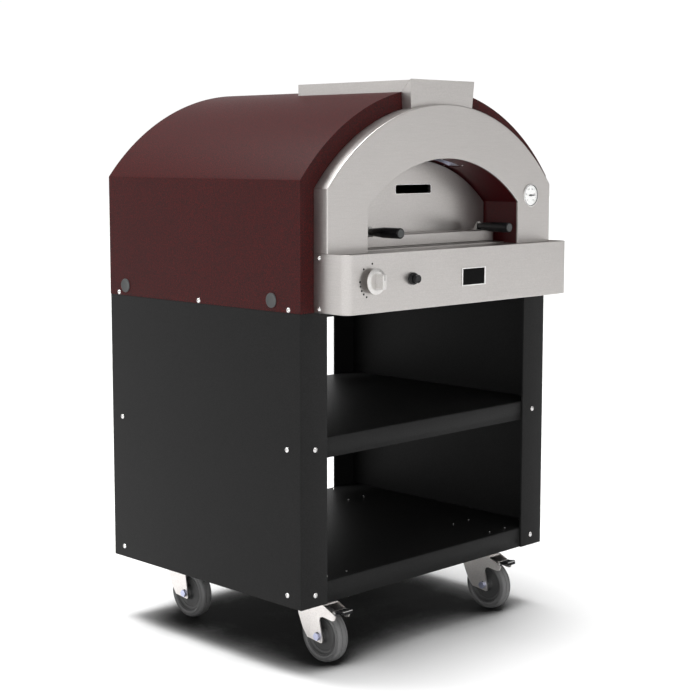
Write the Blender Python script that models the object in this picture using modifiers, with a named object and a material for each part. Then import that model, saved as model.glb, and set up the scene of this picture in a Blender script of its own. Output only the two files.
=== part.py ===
"""Arched oven with a gas control on a wheeled two-shelf stand: one object per piece, metres, +Z up.

Sizes are written in the stand's own frame: x from its left side, y back from its front face, z up from its
lower edge. `placed` moves them to the shared frame, whose origin is the middle of the ground under the oven.
"""

import math

import bmesh
import bpy
from mathutils import Matrix, Vector

# ---------------------------------------------------------------- driving sizes
WIDTH = 0.840
DEPTH = 0.672
STAND_TOP = 0.646
LIFT = 0.157  # ground to the lower edge of the stand
REACH = 0.137  # how far the knob stands out in front of the stand
GAP = 0.0003
SHEET = 0.002
MID_X = WIDTH / 2
MID_Y = (DEPTH - REACH) / 2

FLANGE = 0.080  # front and rear flanges of the stand's side panels
HEM = 0.0055
SHELF_Y = 0.0058
MIDDLE_SHELF = (0.325, 0.371)
BOTTOM_SHELF = (0.0, 0.049)
RAIL_HALF = 0.076  # each pair of angle rails, from the middle of the caster plates to its outer walls
RAIL_FOOT = 0.032
RAIL_END = 0.060

SHELL_FOOT = STAND_TOP + GAP
SHELL_CENTRE = 0.597
SHELL_RADIUS = 0.5355

HOOD_HALF = 0.3812
HOOD_FRONT = -0.0422
HOOD_CENTRE = 0.611
HOOD_RADIUS = 0.4845

MOUTH_HALF = 0.258
MOUTH_CENTRE = 0.603
MOUTH_RADIUS = 0.3705

CONSOLE_FRONT = -0.100
CONSOLE_CORNER = 0.020
CONSOLE_TOP = 0.774
LEDGE = 0.770
SILL = 0.7735
MOUTH_LIP = 0.0050

LINING_BACK = 0.0760
DOOR_FACE = 0.062
HANDLE_SPREAD = 0.1873
HANDLE_Z = 0.8115

CHIMNEY_HALF = 0.109
CHIMNEY_FRONT = (-0.0248, -0.0274)
CHIMNEY_BACK = 0.335
CHIMNEY_TOP = 1.150
CHIMNEY_SEAM = 1.1213
OUTLET = (0.095, 0.065)
FLUE = (0.120, 0.021, 0.0585)
NECK = 0.098

DOME_HALF = 0.350
DOME_CENTRE = 0.575
DOME_RADIUS = 0.470
DOME_BACK = 0.620
HEARTH_TOP = 0.7735
HEARTH_FOOT = 0.739

KNOB = (0.115, 0.716)
IGNITER = (0.241, 0.7143)
BADGE = (0.4045, 0.4880, 0.6872, 0.7284)
DIAL = (0.7246, 0.8844)
PLUG_RADIUS = 0.0165
PLUG_Y = (0.0912, 0.611)
PLUG_Z = 0.670

WHEEL_RADIUS = 0.0625
WHEEL_HALF = 0.016
AXLE_Z = WHEEL_RADIUS - LIFT
TRAIL = 0.0385
CASTER_X = (0.1313, WIDTH - 0.1313)
CASTER_Y = (0.0995, DEPTH - 0.0995)
PLATE_Y = (0.0890, DEPTH - 0.0890)
CHEEK = 0.0240
CHEEK_SHEET = 0.003

# ---------------------------------------------------------------- scene and materials
for old in list(bpy.data.objects):
    bpy.data.objects.remove(old, do_unlink=True)

PARTS = bpy.data.collections.new("wheeled_arched_oven")
CUTTERS = bpy.data.collections.new("cutters")
bpy.context.scene.collection.children.link(PARTS)
bpy.context.scene.collection.children.link(CUTTERS)


def material(name, colour, metallic, roughness, alpha=1.0):
    made = bpy.data.materials.new(name)
    made.use_nodes = True
    shader = made.node_tree.nodes["Principled BSDF"]
    shader.inputs["Base Color"].default_value = (*colour, 1)
    shader.inputs["Metallic"].default_value = metallic
    shader.inputs["Roughness"].default_value = roughness
    shader.inputs["Alpha"].default_value = alpha
    return made


BURGUNDY = material("burgundy_powder_coat", (0.085, 0.022, 0.022), 0.0, 0.45)
BLACK = material("black_powder_coat", (0.018, 0.018, 0.019), 0.0, 0.5)
STEEL = material("brushed_stainless", (0.60, 0.59, 0.58), 1.0, 0.35)
ZINC = material("zinc_plated_steel", (0.66, 0.66, 0.66), 1.0, 0.3)
RUBBER = material("grey_rubber", (0.16, 0.16, 0.16), 0.0, 0.75)
HUB = material("grey_plastic", (0.10, 0.10, 0.10), 0.0, 0.5)
PHENOLIC = material("black_phenolic", (0.015, 0.015, 0.016), 0.0, 0.35)
DIAL_WHITE = material("dial_white", (0.85, 0.85, 0.84), 0.0, 0.5)
GLASS = material("clear_glass", (0.95, 0.95, 0.95), 0.0, 0.05, 0.15)
STONE = material("refractory_stone", (0.62, 0.55, 0.45), 0.0, 0.85)
WOOL = material("ceramic_wool", (0.80, 0.79, 0.75), 0.0, 0.95)
BRASS = material("brass", (0.70, 0.52, 0.22), 1.0, 0.3)
COPPER = material("copper", (0.72, 0.40, 0.28), 1.0, 0.3)


# ---------------------------------------------------------------- building helpers
FRAME = bpy.data.objects.new("stand_frame", None)
FRAME.location = (-MID_X, -MID_Y, LIFT)
PARTS.objects.link(FRAME)


def stored(name, bm, look, origin=(0, 0, 0)):
    """Links a mesh whose points count from `origin` in the stand's frame: a part, or a cutter with no look."""
    mesh = bpy.data.meshes.new(name)
    bm.to_mesh(mesh)
    bm.free()
    made = bpy.data.objects.new(name, mesh)
    made.parent = FRAME
    made.location = origin
    if look is None:
        CUTTERS.objects.link(made)
        made.hide_render = True
        made.display_type = "WIRE"
    else:
        PARTS.objects.link(made)
        mesh.materials.append(look)
        mesh.shade_smooth()
        mesh.set_sharp_from_angle(angle=math.radians(32))
    return made


def from_bmesh(name, bm, look, origin):
    bmesh.ops.recalc_face_normals(bm, faces=bm.faces)
    bmesh.ops.translate(bm, verts=bm.verts, vec=-Vector(origin))
    return stored(name, bm, look, origin)


def along(axis, u, v, w):
    """The point whose coordinates across the axis are u and v and along it w."""
    return Vector({"X": (w, u, v), "Y": (u, w, v), "Z": (u, v, w)}[axis])


def prism(name, outline, axis, low, high, look=None, origin=(0, 0, 0)):
    """A flat outline pushed along an axis."""
    bm = bmesh.new()
    face = bm.faces.new([bm.verts.new(along(axis, u, v, low)) for u, v in outline])
    pushed = bmesh.ops.extrude_face_region(bm, geom=[face], use_keep_orig=True)
    moved = [item for item in pushed["geom"] if isinstance(item, bmesh.types.BMVert)]
    bmesh.ops.translate(bm, verts=moved, vec=along(axis, 0, 0, high - low))
    return from_bmesh(name, bm, look, origin)


def block(name, x, y, z, look=None, origin=(0, 0, 0)):
    bm = bmesh.new()
    bmesh.ops.create_cube(bm, size=1)
    bmesh.ops.scale(bm, verts=bm.verts, vec=(x[1] - x[0], y[1] - y[0], z[1] - z[0]))
    bmesh.ops.translate(bm, verts=bm.verts, vec=(sum(x) / 2, sum(y) / 2, sum(z) / 2))
    return from_bmesh(name, bm, look, origin)


TURNS = {
    "X": Matrix.Rotation(math.pi / 2, 4, "Y"),
    "-X": Matrix.Rotation(-math.pi / 2, 4, "Y"),
    "Y": Matrix.Rotation(-math.pi / 2, 4, "X"),
    "-Y": Matrix.Rotation(math.pi / 2, 4, "X"),
    "Z": Matrix.Identity(4),
}


def cylinder(name, axis, u, v, radius, low, high, look=None, count=32, origin=(0, 0, 0)):
    """A round bar, or with a small count a prism such as a hexagon."""
    bm = bmesh.new()
    bmesh.ops.create_cone(
        bm, cap_ends=True, segments=count, radius1=radius, radius2=radius, depth=high - low
    )
    bmesh.ops.rotate(bm, verts=bm.verts, matrix=TURNS[axis])
    bmesh.ops.translate(bm, verts=bm.verts, vec=along(axis, u, v, (low + high) / 2))
    return from_bmesh(name, bm, look, origin)


def turned(name, profile, axis, centre, look=None, steps=32, closed=False):
    """A turned piece: points (radius, height) from the top down the outer side, spun by a Screw modifier."""
    bm = bmesh.new()
    points = [bm.verts.new((r, 0, h)) for r, h in profile]
    pairs = list(zip(points, points[1:]))
    if closed:
        pairs.append((points[-1], points[0]))
    for a, b in pairs:
        bm.edges.new((a, b))
    made = stored(name, bm, look, centre)
    made.rotation_euler = TURNS[axis].to_euler()
    spin = made.modifiers.new("spin", "SCREW")
    spin.axis = "Z"
    spin.angle = 2 * math.pi
    spin.steps = steps
    spin.render_steps = steps
    spin.use_merge_vertices = True
    spin.merge_threshold = 0.00001
    return made


def loft(name, rings, look, origin):
    """A closed solid through rings of equally many points."""
    bm = bmesh.new()
    rows = [[bm.verts.new(p) for p in ring] for ring in rings]
    for low, high in zip(rows, rows[1:]):
        for i in range(len(low)):
            bm.faces.new((low[i - 1], low[i], high[i], high[i - 1]))
    bm.faces.new(rows[0])
    bm.faces.new(rows[-1])
    return from_bmesh(name, bm, look, origin)


def boolean(target, other, operation="DIFFERENCE"):
    step = target.modifiers.new(other.name, "BOOLEAN")
    step.operation = operation
    step.solver = "EXACT"
    step.object = other
    return target


def arch(half, foot, centre, radius, steps=28):
    """A doorway outline about the middle: two straight sides and an arc that starts where it meets them."""
    start = math.asin(half / radius)
    found = [(MID_X + half, foot)]
    for i in range(steps + 1):
        a = start * (1 - 2 * i / steps)
        found.append((MID_X + radius * math.sin(a), centre + radius * math.cos(a)))
    found.append((MID_X - half, foot))
    return found


def mirrored(outline):
    return [(WIDTH - u, v) for u, v in reversed(outline)]


def tub(half, front, corner, inset, back):
    """From above: quarter-round front corners, and sides that run straight back."""
    low = MID_X - half + inset
    high = MID_X + half - inset
    bend = corner - inset
    arcs = [math.radians(90 * i / 8) for i in range(9)]
    found = [(low, back)]
    found += [(low + bend * (1 - math.cos(a)), front + inset + bend * (1 - math.sin(a))) for a in arcs]
    found += [
        (high - bend * (1 - math.cos(a)), front + inset + bend * (1 - math.sin(a))) for a in reversed(arcs)
    ]
    found.append((high, back))
    return found


# ---------------------------------------------------------------- stand
PANEL = [
    (0, 0),
    (FLANGE, 0),
    (FLANGE, HEM),
    (FLANGE - SHEET, HEM),
    (FLANGE - SHEET, SHEET),
    (SHEET, SHEET),
    (SHEET, DEPTH - SHEET),
    (FLANGE - SHEET, DEPTH - SHEET),
    (FLANGE - SHEET, DEPTH - HEM),
    (FLANGE, DEPTH - HEM),
    (FLANGE, DEPTH),
    (0, DEPTH),
]
prism("left_side_panel", PANEL, "Z", 0, STAND_TOP, BLACK)
prism("right_side_panel", mirrored(PANEL), "Z", 0, STAND_TOP, BLACK)

TRAY_X = (SHEET + GAP, WIDTH - SHEET - GAP)
TRAY_Y = (SHELF_Y, DEPTH - SHELF_Y)


def tray(name, z):
    """A shelf folded down on all four sides."""
    made = block(name, TRAY_X, TRAY_Y, z, BLACK)
    hollow = block(
        name + "_hollow",
        (TRAY_X[0] + SHEET, TRAY_X[1] - SHEET),
        (TRAY_Y[0] + SHEET, TRAY_Y[1] - SHEET),
        (z[0] - 0.01, z[1] - SHEET),
    )
    return boolean(made, hollow)


tray("middle_shelf", MIDDLE_SHELF)
tray("stand_top_plate", (STAND_TOP - 0.0123, STAND_TOP - GAP))
bottom = tray("bottom_shelf", BOTTOM_SHELF)
for end, y in zip(("front", "rear"), PLATE_Y):
    for side, turn in (("ahead", 1), ("behind", -1)):
        edge = y - turn * RAIL_HALF
        top = BOTTOM_SHELF[1] - SHEET / 2
        angle = [
            (edge, 0),
            (edge + turn * RAIL_FOOT, 0),
            (edge + turn * RAIL_FOOT, SHEET),
            (edge + turn * SHEET, SHEET),
            (edge + turn * SHEET, top),
            (edge, top),
        ]
        welded = prism(f"{end}_rail_{side}", angle, "X", RAIL_END, WIDTH - RAIL_END)
        boolean(bottom, welded, "UNION")

# ---------------------------------------------------------------- casters
HEAD_LOW = -0.0185
CROWN_TOP = -0.0188
FORK_TOP = CROWN_TOP - AXLE_Z  # heights below are from the axle
SWIVEL_HEAD = [
    (0.0, -0.0020),
    (0.0290, -0.0020),
    (0.0290, -0.0120),
    (0.0240, HEAD_LOW),
    (0.0062, HEAD_LOW),
    (0.0062, -0.0275),
    (0.0, -0.0275),
]
FRONT_OUTLINE = [(-0.017, FORK_TOP), (-0.057, 0.058), (-0.053, 0.043), (-0.046, 0.041), (-0.017, 0.0445)]
FRONT_OUTLINE += [(-0.008, 0.041), (-0.006, 0.033), (-0.016, -0.010), (-0.0145, -0.0165), (-0.010, -0.018)]
PLAIN_FRONT = [(-0.012, FORK_TOP), (-0.0045, 0.039), (-0.0125, -0.0125), (-0.009, -0.017)]
CREASE = 0.024
CREASE_LOW = -0.0133
REAR_OUTLINE = [(0.034, -0.011), (0.050, 0.009), (0.065, 0.039), (0.072, FORK_TOP)]
WEB_LOW = 0.047


def taper(y):
    """Half the fork's width: flat cheeks in front of the crease, drawn in behind it."""
    return CHEEK if y <= CREASE else CHEEK - 0.0035 * (y - CREASE) / 0.048


def fork(name, x, y, braked):
    """A pressed fork: crown, two creased cheeks and a short rear web, as one folded sheet."""
    axle = Vector((x, y - TRAIL, AXLE_Z))
    front = FRONT_OUTLINE if braked else PLAIN_FRONT
    bm = bmesh.new()

    def at(side, point):
        return bm.verts.new(axle + Vector((side * taper(point[0]), point[0], point[1])))

    tops = []
    for side in (-1, 1):
        lower = at(side, (CREASE, CREASE_LOW))
        upper = at(side, (CREASE, FORK_TOP))
        ahead = [at(side, p) for p in front]
        behind = [at(side, p) for p in REAR_OUTLINE]
        share = (WEB_LOW - REAR_OUTLINE[2][1]) / (FORK_TOP - REAR_OUTLINE[2][1])
        foot = (REAR_OUTLINE[2][0] + share * (REAR_OUTLINE[3][0] - REAR_OUTLINE[2][0]), WEB_LOW)
        web = at(side, foot)
        bm.faces.new([upper, *ahead, lower])
        bm.faces.new([upper, lower, *behind[:3], web, behind[3]])
        tops.append((ahead[0], upper, behind[3], web))
    left, right = tops
    bm.faces.new([left[0], right[0], right[1], left[1]])
    bm.faces.new([left[1], right[1], right[2], left[2]])
    bm.faces.new([left[2], right[2], right[3], left[3]])
    bmesh.ops.recalc_face_normals(bm, faces=bm.faces)
    up = max(bm.faces, key=lambda f: f.calc_center_median().z)
    up.normal_update()
    if up.normal.z < 0:
        bmesh.ops.reverse_faces(bm, faces=bm.faces)
    centre = (x, y, CROWN_TOP)
    bmesh.ops.translate(bm, verts=bm.verts, vec=-Vector(centre))
    made = stored(name, bm, ZINC, centre)
    thick = made.modifiers.new("sheet", "SOLIDIFY")
    thick.thickness = CHEEK_SHEET
    thick.offset = -1
    thick.use_even_offset = True
    thick.use_quality_normals = True
    boolean(
        made,
        cylinder(name + "_bolt_holes", "X", axle.y, axle.z, 0.0055, x - 0.04, x + 0.04, count=16),
    )
    return boolean(
        made,
        cylinder(name + "_pin_hole", "Z", x, y, 0.0070, CROWN_TOP - 0.006, CROWN_TOP + 0.004, count=16),
    )


def pedal(name, x, y):
    """The brake lever: a pressed tread with a turned-down toe, on a cross pin between the fork's arms."""
    axle = Vector((0, y - TRAIL, AXLE_Z))
    path = [(-0.028, 0.0640), (-0.058, 0.0740), (-0.083, 0.0770), (-0.0865, 0.0740), (-0.0880, 0.0610)]
    under = [(-0.0856, 0.0610), (-0.0842, 0.0726), (-0.0815, 0.0747), (-0.058, 0.0716), (-0.0288, 0.0618)]
    outline = [(axle.y + a, axle.z + b) for a, b in path + under]
    hinge = (x, axle.y - 0.046, axle.z + 0.0625)
    made = prism(name, outline, "X", x - 0.0185, x + 0.0185, ZINC, hinge)
    pin = cylinder(name + "_pin", "X", hinge[1], hinge[2], 0.0042, x - 0.0205, x + 0.0205, count=16)
    boss = prism(
        name + "_boss",
        [
            (hinge[1] - 0.006, hinge[2] - 0.001),
            (hinge[1] + 0.006, hinge[2] - 0.001),
            (hinge[1] + 0.006, hinge[2] + 0.0045),
            (hinge[1] - 0.006, hinge[2] + 0.0085),
        ],
        "X",
        x - 0.012,
        x + 0.012,
    )
    boolean(made, pin, "UNION")
    return boolean(made, boss, "UNION")


TYRE = [(0.0625, 0.0), (0.0605, -0.0100), (0.0560, -0.0153), (0.0500, -0.0160), (0.0465, -0.0132)]
TYRE_RING = [(r, -h) for r, h in reversed(TYRE[1:])] + TYRE
HUB_SIDE = [(0.0462, -0.0126), (0.0405, -0.0085), (0.0170, -0.0070), (0.0150, -0.0185), (0.0051, -0.0185)]
HUB_RING = [(r, -h) for r, h in reversed(HUB_SIDE)] + HUB_SIDE


def axle_bolt(name, x, y):
    """A hexagon bolt through both cheeks and the hub, with its nut on the other side."""
    centre = (y - TRAIL, AXLE_Z)
    outer = CHEEK + GAP
    bolt = cylinder(
        name, "X", *centre, 0.0050, x - outer - 0.002, x + outer + 0.0090, ZINC, 16, (x, *centre)
    )
    for piece, low, high in (("_head", -outer - 0.0055, -outer), ("_nut", outer, outer + 0.0065)):
        boolean(bolt, cylinder(name + piece, "X", *centre, 0.0090, x + low, x + high, count=6), "UNION")
    return bolt


def caster(place, x, y, plate_y, braked):
    plate = block(
        place + "_caster_plate",
        (x - 0.0425, x + 0.0425),
        (plate_y - 0.071, plate_y + 0.071),
        (-0.0038, -GAP),
        ZINC,
        (x, y, 0),
    )
    boolean(plate, turned(place + "_swivel_head", SWIVEL_HEAD, "Z", (x, y, 0), steps=24), "UNION")
    fork(place + "_caster_fork", x, y, braked)
    centre = (x, y - TRAIL, AXLE_Z)
    turned(place + "_caster_tyre", TYRE_RING, "X", centre, RUBBER, steps=36, closed=True)
    turned(place + "_caster_hub", HUB_RING, "X", centre, HUB, steps=24, closed=True)
    axle_bolt(place + "_caster_axle", x, y)
    if braked:
        pedal(place + "_brake_pedal", x, y)


for end, y, plate_y in zip(("front", "rear"), CASTER_Y, PLATE_Y):
    for side, x in zip(("left", "right"), CASTER_X):
        caster(f"{end}_{side}", x, y, plate_y, braked=end == "front")

# ---------------------------------------------------------------- oven shell
shell = prism(
    "oven_shell", arch(MID_X, SHELL_FOOT, SHELL_CENTRE, SHELL_RADIUS, 32), "Y", 0, DEPTH, BURGUNDY
)
boolean(
    shell,
    prism(
        "shell_hollow",
        arch(MID_X - SHEET, SHELL_FOOT - 0.01, SHELL_CENTRE, SHELL_RADIUS - SHEET, 32),
        "Y",
        SHEET,
        DEPTH + 0.01,
    ),
)
boolean(
    shell,
    prism(
        "shell_mouth",
        arch(MOUTH_HALF + 0.0035, LEDGE - 0.0020, MOUTH_CENTRE, MOUTH_RADIUS + 0.0035),
        "Y",
        -0.01,
        0.01,
    ),
)
boolean(
    shell,
    block(
        "shell_flue_slot",
        (MID_X - NECK - 0.0022, MID_X + NECK + 0.0022),
        (FLUE[1] - 0.0022, FLUE[2] + 0.0022),
        (1.10, 1.2),
    ),
)
boolean(shell, cylinder("shell_pipe_hole", "Y", *KNOB, 0.0065, -0.01, 0.01, count=16))
for end, y in zip(("front", "rear"), PLUG_Y):
    boolean(
        shell,
        cylinder(
            end + "_plug_holes", "X", y, PLUG_Z, PLUG_RADIUS - 0.0025, -0.01, WIDTH + 0.01, count=20
        ),
    )

PLUG = [
    (0.0, 0.0022),
    (PLUG_RADIUS - 0.0030, 0.0020),
    (PLUG_RADIUS, 0.0009),
    (PLUG_RADIUS, GAP),
    (PLUG_RADIUS - 0.0032, GAP),
    (PLUG_RADIUS - 0.0038, -0.0090),
    (0.0, -0.0090),
]
for side, x, axis in (("left", 0.0, "-X"), ("right", WIDTH, "X")):
    for end, y in zip(("front", "rear"), PLUG_Y):
        turned(f"{end}_{side}_plug", PLUG, axis, (x, y, PLUG_Z), PHENOLIC, steps=20)

block(
    "oven_base_plate",
    (SHEET + GAP, WIDTH - SHEET - GAP),
    (SHEET + GAP, DEPTH - SHEET),
    (SHELL_FOOT, SHELL_FOOT + SHEET),
    BLACK,
)
prism(
    "back_panel",
    arch(MID_X - SHEET - GAP, 0.6486, SHELL_CENTRE, SHELL_RADIUS - SHEET - GAP, 32),
    "Y",
    DEPTH - 0.010,
    DEPTH - 0.008,
    BURGUNDY,
)

# ---------------------------------------------------------------- oven chamber
block("floor_insulation", (0.030, WIDTH - 0.030), (0.0785, 0.655), (0.6486, 0.7387), WOOL)
for side, x in (("left", (0.078, MID_X - GAP)), ("right", (MID_X + GAP, WIDTH - 0.078))):
    block(f"{side}_hearth_stone", x, (0.0795, 0.612), (HEARTH_FOOT, HEARTH_TOP), STONE)

dome = prism(
    "oven_dome", arch(DOME_HALF, HEARTH_FOOT, DOME_CENTRE, DOME_RADIUS), "Y", 0.0765, DOME_BACK, STEEL
)
boolean(
    dome,
    prism(
        "dome_hollow",
        arch(DOME_HALF - SHEET, HEARTH_FOOT - 0.01, DOME_CENTRE, DOME_RADIUS - SHEET),
        "Y",
        0.0785,
        DOME_BACK - SHEET,
    ),
)
boolean(
    dome,
    prism(
        "dome_mouth",
        arch(MOUTH_HALF + 0.0007, HEARTH_TOP, MOUTH_CENTRE, MOUTH_RADIUS + 0.0007),
        "Y",
        0.07,
        0.082,
    ),
)
PIPE_RISE = 0.800
boolean(dome, cylinder("dome_pipe_hole", "Y", KNOB[0], PIPE_RISE, 0.0065, 0.07, 0.09, count=16))
wool = prism(
    "dome_insulation",
    arch(MID_X - 0.0035, HEARTH_FOOT, SHELL_CENTRE, SHELL_RADIUS - 0.0035, 24),
    "Y",
    0.0790,
    0.655,
    WOOL,
)
boolean(
    wool,
    prism(
        "wool_hollow",
        arch(DOME_HALF + 0.0008, HEARTH_FOOT - 0.01, DOME_CENTRE, DOME_RADIUS + 0.0008),
        "Y",
        0.07,
        DOME_BACK + 0.0008,
    ),
)

LINING = arch(MOUTH_HALF + 0.0027, LEDGE + GAP, MOUTH_CENTRE, MOUTH_RADIUS + 0.0027)
lining = prism("mouth_lining", LINING, "Y", HOOD_FRONT + MOUTH_LIP + GAP, LINING_BACK, BURGUNDY)
boolean(
    lining,
    prism(
        "lining_hollow",
        arch(MOUTH_HALF + 0.0007, LEDGE - 0.01, MOUTH_CENTRE, MOUTH_RADIUS + 0.0007),
        "Y",
        -0.06,
        0.09,
    ),
)
boolean(
    lining,
    block("lining_flue_slot", (MID_X - FLUE[0], MID_X + FLUE[0]), (FLUE[1], FLUE[2]), (0.90, 1.05)),
)
SILL_SECTION = [
    (0.0, LEDGE - 0.0017),
    (0.0, SILL),
    (LINING_BACK, SILL),
    (LINING_BACK, SILL - SHEET),
    (SHEET, SILL - SHEET),
    (SHEET, LEDGE - 0.0017),
]
SILL_HALF = MOUTH_HALF + 0.0004
prism("sill_plate", SILL_SECTION, "X", MID_X - SILL_HALF, MID_X + SILL_HALF, STEEL)


def duct_solid(name, grow, levels, look=None):
    """As wide as the opening in the lining below, drawn in to go up through the roof."""
    rings = []
    for z, half in levels:
        x = (MID_X - half - grow, MID_X + half + grow)
        y = (FLUE[1] - grow, FLUE[2] + grow)
        rings.append([(x[0], y[0], z), (x[1], y[0], z), (x[1], y[1], z), (x[0], y[1], z)])
    return loft(name, rings, look, (MID_X, FLUE[1], 1.0))


duct = duct_solid(
    "flue_duct", 0.0018, ((0.93, FLUE[0]), (0.985, FLUE[0]), (1.09, NECK), (1.1385, NECK)), STEEL
)
boolean(
    duct,
    duct_solid("duct_hollow", 0.0003, ((0.90, FLUE[0]), (0.985, FLUE[0]), (1.09, NECK), (1.2, NECK))),
)
boolean(
    duct,
    prism(
        "duct_foot",
        arch(MOUTH_HALF + 0.003, LEDGE - 0.02, MOUTH_CENTRE, MOUTH_RADIUS + 0.003),
        "Y",
        -0.06,
        0.09,
    ),
)

# ---------------------------------------------------------------- hood and console
HOOD_FOOT = CONSOLE_TOP + GAP
STEP_HALF = HOOD_HALF - SHEET - 2 * GAP
outline = arch(HOOD_HALF, HOOD_FOOT, HOOD_CENTRE, HOOD_RADIUS, 32)
outline += [
    (MID_X - STEP_HALF, HOOD_FOOT),
    (MID_X - STEP_HALF, LEDGE + GAP),
    (MID_X + STEP_HALF, LEDGE + GAP),
    (MID_X + STEP_HALF, HOOD_FOOT),
]
hood = prism("hood", outline, "Y", HOOD_FRONT, -GAP, STEEL)
boolean(
    hood,
    prism(
        "hood_hollow",
        arch(HOOD_HALF - SHEET, LEDGE - 0.01, HOOD_CENTRE, HOOD_RADIUS - SHEET, 32),
        "Y",
        HOOD_FRONT + SHEET,
        0.01,
    ),
)
boolean(
    hood,
    prism(
        "hood_lip",
        arch(MOUTH_HALF + SHEET, LEDGE + GAP, MOUTH_CENTRE, MOUTH_RADIUS + SHEET),
        "Y",
        HOOD_FRONT + SHEET / 2,
        HOOD_FRONT + MOUTH_LIP,
    ),
    "UNION",
)
boolean(
    hood,
    prism(
        "hood_mouth",
        arch(MOUTH_HALF, LEDGE - 0.01, MOUTH_CENTRE, MOUTH_RADIUS),
        "Y",
        HOOD_FRONT - 0.01,
        HOOD_FRONT + 0.01,
    ),
)
boolean(
    hood,
    cylinder("hood_dial_hole", "Y", *DIAL, 0.0267, HOOD_FRONT - 0.01, HOOD_FRONT + 0.01, count=32),
)


def console_outline(inset, back):
    return tub(HOOD_HALF, CONSOLE_FRONT, CONSOLE_CORNER, inset, back)


console = prism("console", console_outline(0, -GAP), "Z", SHELL_FOOT, CONSOLE_TOP, STEEL)
boolean(
    console,
    prism("console_hollow", console_outline(SHEET, 0.02), "Z", SHELL_FOOT + SHEET, LEDGE - SHEET),
)
boolean(console, prism("console_recess", console_outline(SHEET, 0.02), "Z", LEDGE, CONSOLE_TOP + 0.01))
boolean(
    console,
    cylinder("knob_hole", "Y", *KNOB, 0.0065, CONSOLE_FRONT - 0.01, CONSOLE_FRONT + 0.01, count=16),
)
boolean(
    console,
    cylinder(
        "igniter_hole", "Y", *IGNITER, 0.0112, CONSOLE_FRONT - 0.01, CONSOLE_FRONT + 0.01, count=24
    ),
)

# ---------------------------------------------------------------- chimney cover
WALL = 0.0015


def flare(y, z):
    """Half the width of the front piece: each side is one plane that leans out upwards and backwards."""
    return 0.02567 + 0.07784 * y + 0.07432 * z


def front_solid(name, low, high, inset, back, look=None):
    """The leaning front sheet and its two flared sides."""
    rings = []
    for z in (low, high):
        share = (z - 1.08) / (CHIMNEY_TOP - 1.08)
        y = CHIMNEY_FRONT[0] + share * (CHIMNEY_FRONT[1] - CHIMNEY_FRONT[0]) + inset
        near = flare(y, z) - inset
        far = flare(back, z) - inset
        corners = [(-near, y), (near, y), (far, back), (-far, back)]
        rings.append([(MID_X + x, y, z) for x, y in corners])
    return loft(name, rings, look, (MID_X, 0, CHIMNEY_TOP))


def grown_shell(name):
    return prism(name, arch(MID_X, 0.9, SHELL_CENTRE, SHELL_RADIUS + GAP, 32), "Y", -GAP, DEPTH)


SEAM = [(0.0, CHIMNEY_SEAM), (CHIMNEY_FRONT[1], CHIMNEY_TOP)]
BEHIND_SEAM = [(y - GAP, z) for y, z in SEAM] + [(-0.030, 1.20), (0.5, 1.20), (0.5, 1.0), (-GAP, 1.0)]
BEFORE_SEAM = [(y + GAP, z) for y, z in SEAM] + [(-0.030, 1.20), (-0.1, 1.20), (-0.1, 1.0), (GAP, 1.0)]

front = front_solid("chimney_front", 1.060, CHIMNEY_TOP, 0, 0.0, STEEL)
boolean(front, front_solid("front_hollow", 1.0, 1.2, WALL, 0.02))
boolean(front, prism("behind_seam", BEHIND_SEAM, "X", 0.2, 0.65))
boolean(
    front,
    prism("over_hood", arch(HOOD_HALF, 0.9, HOOD_CENTRE, HOOD_RADIUS + GAP, 32), "Y", -0.1, 0.1),
)

COVER_TOP = CHIMNEY_TOP - 0.0025
COVER_X = (MID_X - CHIMNEY_HALF, MID_X + CHIMNEY_HALF)
cover = block("chimney_cover", COVER_X, (CHIMNEY_FRONT[1], CHIMNEY_BACK), (1.080, COVER_TOP), STEEL)
boolean(
    cover,
    block(
        "cover_hollow",
        (COVER_X[0] + WALL, COVER_X[1] - WALL),
        (CHIMNEY_FRONT[1] - 0.02, CHIMNEY_BACK - WALL),
        (1.0, COVER_TOP - WALL),
    ),
)
boolean(cover, prism("before_seam", BEFORE_SEAM, "X", 0.2, 0.65))
boolean(cover, grown_shell("over_shell"))
boolean(cover, cylinder("outlet", "Z", MID_X, OUTLET[0], OUTLET[1], 1.1, 1.2, count=40))

# ---------------------------------------------------------------- door
DOOR_HALF = 0.2545
DOOR_RADIUS = 0.3670
DOOR_FOOT = 0.776
DOOR_BACK = DOOR_FACE + 0.010
SKIN = 0.0015
FLAP_HALF = 0.2450
FLAP_FRONT = 0.012
FLAP_CORNER = 0.020
FLAP_TOP = 0.803
SLOT = (0.0605, 0.8930, 0.9130)


def door_flap(name, inset, back):
    """The folded box along the door's foot, with turned front corners."""
    outline = tub(FLAP_HALF, FLAP_FRONT, FLAP_CORNER, inset, back)
    return prism(name, outline, "Z", DOOR_FOOT + inset, FLAP_TOP - inset)


door = prism(
    "oven_door", arch(DOOR_HALF, DOOR_FOOT, MOUTH_CENTRE, DOOR_RADIUS), "Y", DOOR_FACE, DOOR_BACK, STEEL
)
boolean(door, door_flap("door_flap", 0, DOOR_BACK - 0.002), "UNION")
boolean(
    door,
    prism(
        "door_hollow",
        arch(DOOR_HALF - SKIN, DOOR_FOOT + SKIN, MOUTH_CENTRE, DOOR_RADIUS - SKIN),
        "Y",
        DOOR_FACE + SKIN,
        DOOR_BACK + 0.01,
    ),
)
boolean(door, door_flap("door_flap_hollow", SKIN, DOOR_BACK - 0.003))
for name, grow, operation in (("slot_rim", 0.0020, "UNION"), ("door_slot", 0.0, "DIFFERENCE")):
    reach = 0.01 if operation == "DIFFERENCE" else 0.0
    x = (MID_X - SLOT[0] - grow, MID_X + SLOT[0] + grow)
    y = (DOOR_FACE + 0.0005 - reach, DOOR_BACK - 0.0005 + reach)
    boolean(door, block(name, x, y, (SLOT[1] - grow, SLOT[2] + grow)), operation)
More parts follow.
